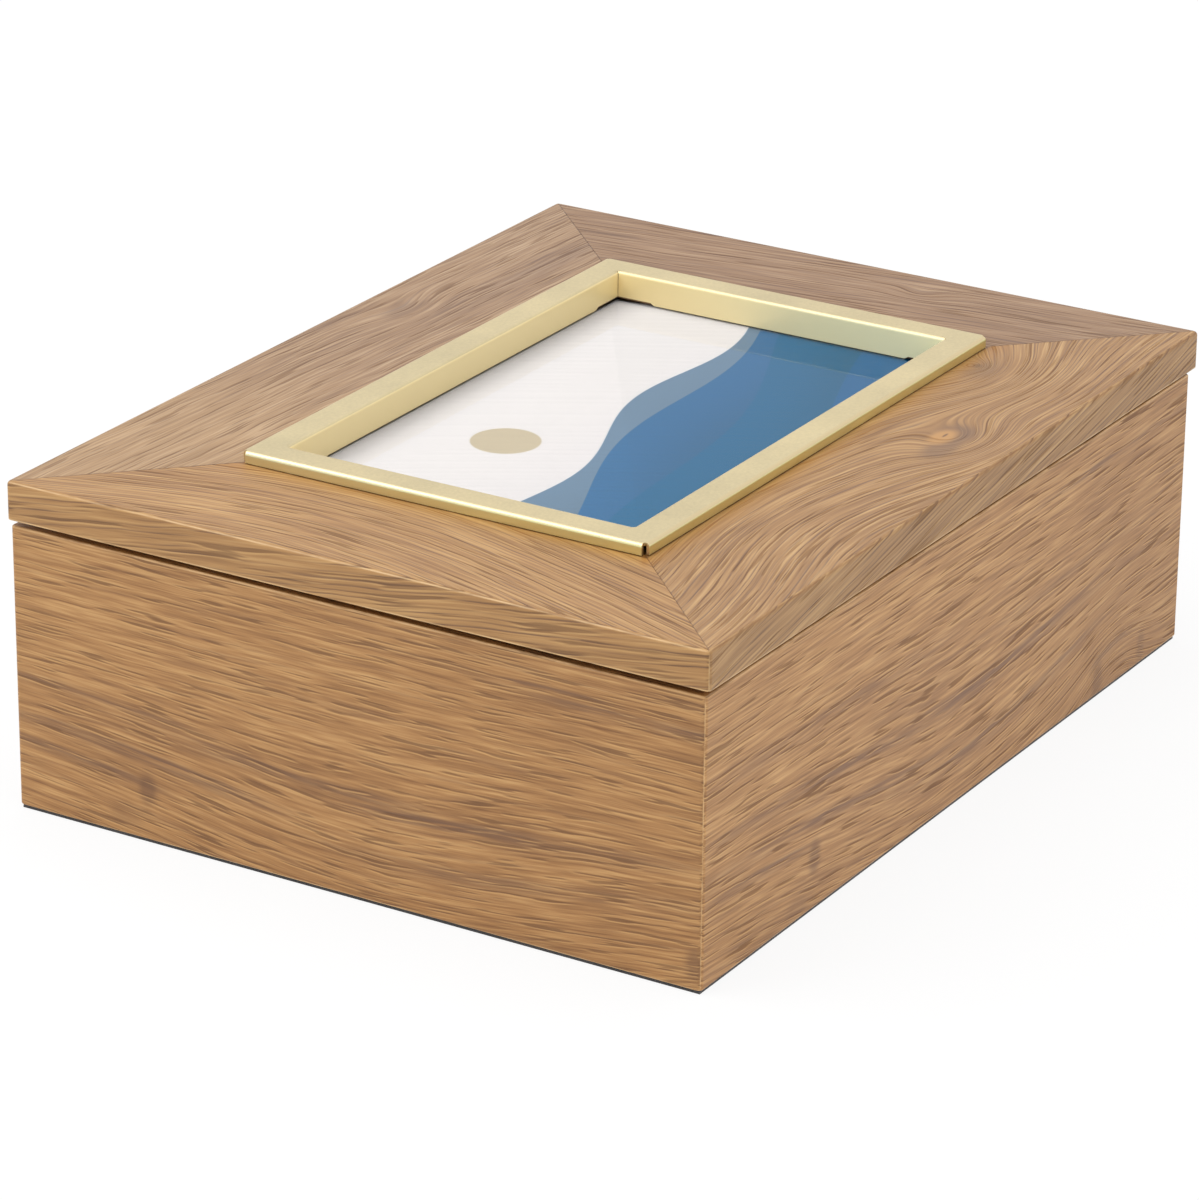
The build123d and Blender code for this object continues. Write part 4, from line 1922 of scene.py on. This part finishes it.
        surround.pick(Pick.FACES, in_window)
        bpy.ops.mesh.delete(type="ONLY_FACE")
        rim = on_plane(Vector((0, 0, top)), UP)
        surround.pick(Pick.EDGES, lambda edge: rim(edge) or in_window(edge))
        bpy.ops.mesh.bridge_edge_loops()
        surround.pick(Pick.VERTICES, in_window)
        bpy.ops.transform.translate(value=(0, 0, self.sheet))

    @staticmethod
    def faces_down(surround: Workpiece, top: Test) -> bool:
        """True if the normals of the faces that pass the test for the top point down."""
        mesh = bmesh.from_edit_mesh(surround.body.data)
        return next(face for face in mesh.faces if top(face)).normal.z < 0

    def cut_slit(self, surround: Workpiece, high: Vector, toward: Vector) -> None:
        """Cuts the slit between two skirts, from the flat flange down.

        Args:
            surround: the folded sheet, before it gets its thickness
            high: highest corner of the surround
            toward: which corner, with 1 or -1 along X and Y
        """
        inset = (self.skirt_corner + self.outer_bend) / 2
        corner = Vector((toward.x * (high.x - inset), toward.y * (high.y - inset), 0))
        outward = toward.normalized()
        sideways = outward.cross(UP) * self.slit / 2
        for edge in (sideways, -sideways):
            surround.pick(Pick.FACES, beyond(corner, outward))
            surround.saw(corner + edge, edge.normalized(), drop=False)
        between = both(beyond(corner - sideways, sideways), beyond(corner + sideways, -sideways))
        surround.pick(Pick.FACES, both(beyond(corner, outward), between))
        bpy.ops.mesh.delete(type="FACE")

    def line_of(self, side: Side, distance: float) -> Test:
        """Test for the straight edge of the window on one side, at a distance from the middle."""
        run = on_plane(side.outward * distance, side.outward)
        return lambda edge: run(edge) and edge.calc_length() > self.foot_cut_length

    def reach_of(self, half: float, inward: float) -> float:
        """Half length of a bend, as far as the corner's arc and then the mitre let it reach.

        Args:
            half: half length of the window before its walls are folded
            inward: how far the bend has come in from the flange

        Returns:
            Its half length there.
        """
        radius = self.window_corner
        arc = radius - math.sqrt(radius ** 2 - (radius - inward) ** 2)
        return half - max(inward + self.seam / 2, arc)

    @staticmethod
    def widen(side: Side, factor: float) -> None:
        """Scales what is selected along a side, about its middle."""
        value = Vector((1, 1, 1)) + side.along * (factor - 1)
        bpy.ops.transform.resize(value=value, center_override=(0, 0, 0))

    def fold_wall(self, surround: Workpiece, side: Side, window: Vector, top: float, drop: float) -> None:
        """Folds one wall of the window down, with mitred corners and a stepped foot.

        Args:
            surround: the sheet being folded
            side: the side that is folded
            window: corner of the flat flange's opening
            top: level of the flange
            drop: from the flange's top to the wall's foot
        """
        distance, half = window.dot(Vector([abs(p) for p in side.outward])), window.dot(side.along)
        surround.pick(Pick.EDGES, self.line_of(side, distance))
        reached = Vector((0, 0))
        for bend in range(1, self.bend_steps + 1):
            angle = math.pi / 2 * bend / self.bend_steps
            target = Vector((math.sin(angle), 1 - math.cos(angle))) * self.inner_bend
            move = target - reached
            surround.extrude(-side.outward * move.x - UP * move.y)
            self.widen(side, self.reach_of(half, target.x) / self.reach_of(half, reached.x))
            reached = target
        surround.extrude(-UP * (drop - self.inner_bend))
        wall = on_plane(side.outward * (distance - self.inner_bend), side.outward)
        low_edge = both(on_plane(Vector((0, 0, top - drop)), UP), wall)
        step = self.reach_of(half, self.inner_bend) - self.foot_cut_length
        slope = self.foot_cut_slope / 2
        for end in (-1, 1):
            for place in (step - slope, step + slope):
                surround.pick(Pick.FACES, wall)
                surround.saw(side.along * place * end, side.along, drop=False)
            past = beyond(side.along * (step + slope) * end, side.along * end)
            surround.pick(Pick.VERTICES, both(low_edge, past))
            bpy.ops.transform.translate(value=(0, 0, self.foot_cut_height))


@dataclass(frozen=True)
class PictureStack:
    """What lies under the surround: the glass, the print and the backing board."""

    glass_arris: float = 0.25 * MM
    print_corner: float = 1.0 * MM
    print_edge: float = 0.05 * MM
    board_corner: float = 1.2 * MM
    board_edge: float = 0.3 * MM
    corner_steps: int = 5
    edge_steps: int = 2

    def rounded_slab(self, name: str, node: str, corner: float, edge: float) -> Workpiece:
        """A thin slab in a CAD node's place, with rounded corners and broken edges.

        Args:
            name: the piece's name
            node: the CAD node
            corner: radius of its corners
            edge: width of its broken edges

        Returns:
            The slab.
        """
        low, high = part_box(node)
        slab = Workpiece.block(name, low, high)
        with slab.editing():
            slab.pick(Pick.EDGES, is_upright)
            slab.round_edges(corner, self.corner_steps)
            slab.pick(Pick.EDGES, lambda e: on_plane(high, UP)(e) or on_plane(low, UP)(e))
            slab.round_edges(edge, self.edge_steps)
        slab.smooth()
        return slab

    def build(self) -> None:
        """Builds and dresses the stack."""
        glass = self.rounded_slab("glass_sheet", "glass_pane", self.glass_arris, self.glass_arris)
        glass.install("lid", "glass", GlassFinish().build(), "glass_pane")
        _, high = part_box("photo_print")
        sheet = self.rounded_slab("paper_print", "photo_print", self.print_corner, self.print_edge)
        sheet.install("lid", "print", PrintFinish(high.x, high.y).build(), "photo_print")
        black = BoardFinish("black_board", colour=(44, 43, 44), speck=(92, 86, 80)).build()
        backing = self.rounded_slab("pressed_board", "backing_board", self.board_corner, self.board_edge)
        backing.install("lid", "board", black, "backing_board")


# ---------------------------------------------------------------- fittings
@dataclass(frozen=True)
class Fittings:
    """Hinges, screws and turn buttons, which keep their CAD shapes."""

    clouding: float = 0.2

    def build(self) -> None:
        """Dresses the fittings."""
        brass = MetalFinish(
            "satin_brass", colour=(214, 178, 108), roughness=0.30, stretch=(5.0, 1.5, 5.0),
            depth=0.006 * MM, clouding=self.clouding,
        ).build()
        nickel = MetalFinish(
            "nickel_plate", colour=(196, 194, 188), roughness=0.24, stretch=(2.0, 5.0, 2.0),
            depth=0.004 * MM, clouding=self.clouding,
        ).build()
        for hinge in HINGES:
            for part in ("hinge_box_leaf", "hinge_lid_leaf", "hinge_pin"):
                dress_node(f"{hinge}_{part}", brass)
        for screws in ("box_leaf_screws", "lid_leaf_screws"):
            dress_node(screws, brass)
        for place in ("front_left", "front_right", "back_left", "back_right"):
            dress_node(f"{place}_turn_button", nickel)
        dress_node("turn_button_screws", nickel)


# ---------------------------------------------------------------- studio
@dataclass(frozen=True)
class Lamp:
    """A soft white square lamp that faces the box."""

    name: str
    place: Triple
    width: float
    power: float

    def build(self, aim: Vector) -> None:
        """Sets the lamp up.

        Args:
            aim: the point that it faces
        """
        data = bpy.data.lights.new(self.name, "AREA")
        data.shape = "RECTANGLE"
        data.size = data.size_y = self.width
        data.energy = self.power
        lamp = bpy.data.objects.new(self.name, data)
        lamp.location = self.place
        lamp.rotation_euler = (aim - lamp.location).to_track_quat("-Z", "Y").to_euler()
        bpy.context.scene.collection.objects.link(lamp)


@dataclass(frozen=True)
class Studio:
    """Camera, lamps, world and floor."""

    camera_place: Triple = (-1.04547, -0.62202, 0.53464)
    azimuth: float = -58.980
    elevation: float = 22.471
    roll: float = 0.555
    lens: float = 163.940
    sensor: float = 36.0
    nearest: float = 0.05
    farthest: float = 50.0
    world_level: float = 0.76
    floor_size: float = 12.0
    floor_white: float = 0.9
    shadow_share: float = 0.13
    aim: Triple = (0, 0, 0.05)
    lamps: tuple[Lamp, ...] = (
        Lamp("back_left_softbox", (-1.0, 1.3, 2.0), 1.8, 24.0),
        Lamp("overhead_softbox", (0.0, -0.2, 2.4), 1.6, 18.0),
    )

    def build(self) -> None:
        """Sets up the studio."""
        self.build_camera()
        self.build_world()
        self.build_floor()
        for lamp in self.lamps:
            lamp.build(Vector(self.aim))
        bpy.context.scene.view_settings.view_transform = "Standard"

    def build_camera(self) -> None:
        """Places the camera at the photograph's viewing angle."""
        data = bpy.data.cameras.new("camera")
        data.lens = self.lens
        data.sensor_width = self.sensor
        data.clip_start = self.nearest
        data.clip_end = self.farthest
        camera = bpy.data.objects.new("camera", data)
        turn, lift = math.radians(self.azimuth), math.radians(self.elevation)
        back = Vector((math.sin(turn) * math.cos(lift), -math.cos(turn) * math.cos(lift), math.sin(lift)))
        right = UP.cross(back).normalized()
        above = back.cross(right)
        tilt = math.radians(self.roll)
        turned_right = right * math.cos(tilt) + above * math.sin(tilt)
        turned_above = above * math.cos(tilt) - right * math.sin(tilt)
        camera.matrix_world = Matrix.Translation(self.camera_place) @ Matrix(
            (turned_right, turned_above, back)
        ).transposed().to_4x4()
        bpy.context.scene.collection.objects.link(camera)
        bpy.context.scene.camera = camera

    @staticmethod
    def seen(graph: Graph) -> Socket:
        """Mask of the rays that see a thing from the camera, in metal or through glass.

        Args:
            graph: the tree of a material or world

        Returns:
            The mask's socket.
        """
        path = graph.node("LightPath").outputs
        rays = ("Is Camera Ray", "Is Transmission Ray", "Is Glossy Ray")
        return graph.folded("MAXIMUM", *[path[ray] for ray in rays])

    def build_world(self) -> None:
        """Lights the scene evenly, and shows white to the camera, in metal and through glass."""
        world = bpy.data.worlds.new("studio")
        bpy.context.scene.world = world
        graph = Graph.emptied(world)
        levels = {0: self.seen(graph), 2: self.world_level, 3: 1.0}
        level = graph.node("Mix", levels, data_type="FLOAT").outputs[0]
        light = graph.node("Background", {"Color": WHITE, "Strength": level})
        graph.node("OutputWorld", {0: light.outputs[0]})

    def build_floor(self) -> None:
        """Lays a white floor that keeps a faint shadow of the box."""
        floor = Workpiece.panel("floor", Vector((0, 0, 0)), self.floor_size, self.floor_size)
        material = bpy.data.materials.new("white_floor")
        graph = Graph.emptied(material)
        paint = graph.node("BsdfDiffuse", {"Color": (*[self.floor_white] * 3, 1)})
        glow = graph.node("Emission", {"Color": WHITE, "Strength": 1.0})
        share = graph.product(self.seen(graph), 1 - self.shadow_share)
        mixed = graph.node("MixShader", {0: share, 1: paint.outputs[0], 2: glow.outputs[0]})
        graph.node("OutputMaterial", {0: mixed.outputs[0]})
        floor.body.data.materials.append(material)


def main() -> None:
    """Builds the box from its sub-assemblies, then the studio."""
    logging.basicConfig(level=logging.INFO, format="%(name)s: %(message)s")
    for part in (BoxCarcass, LidFrame, PictureSurround, PictureStack, Fittings, Studio):
        part().build()


if __name__ == "__main__":
    main()
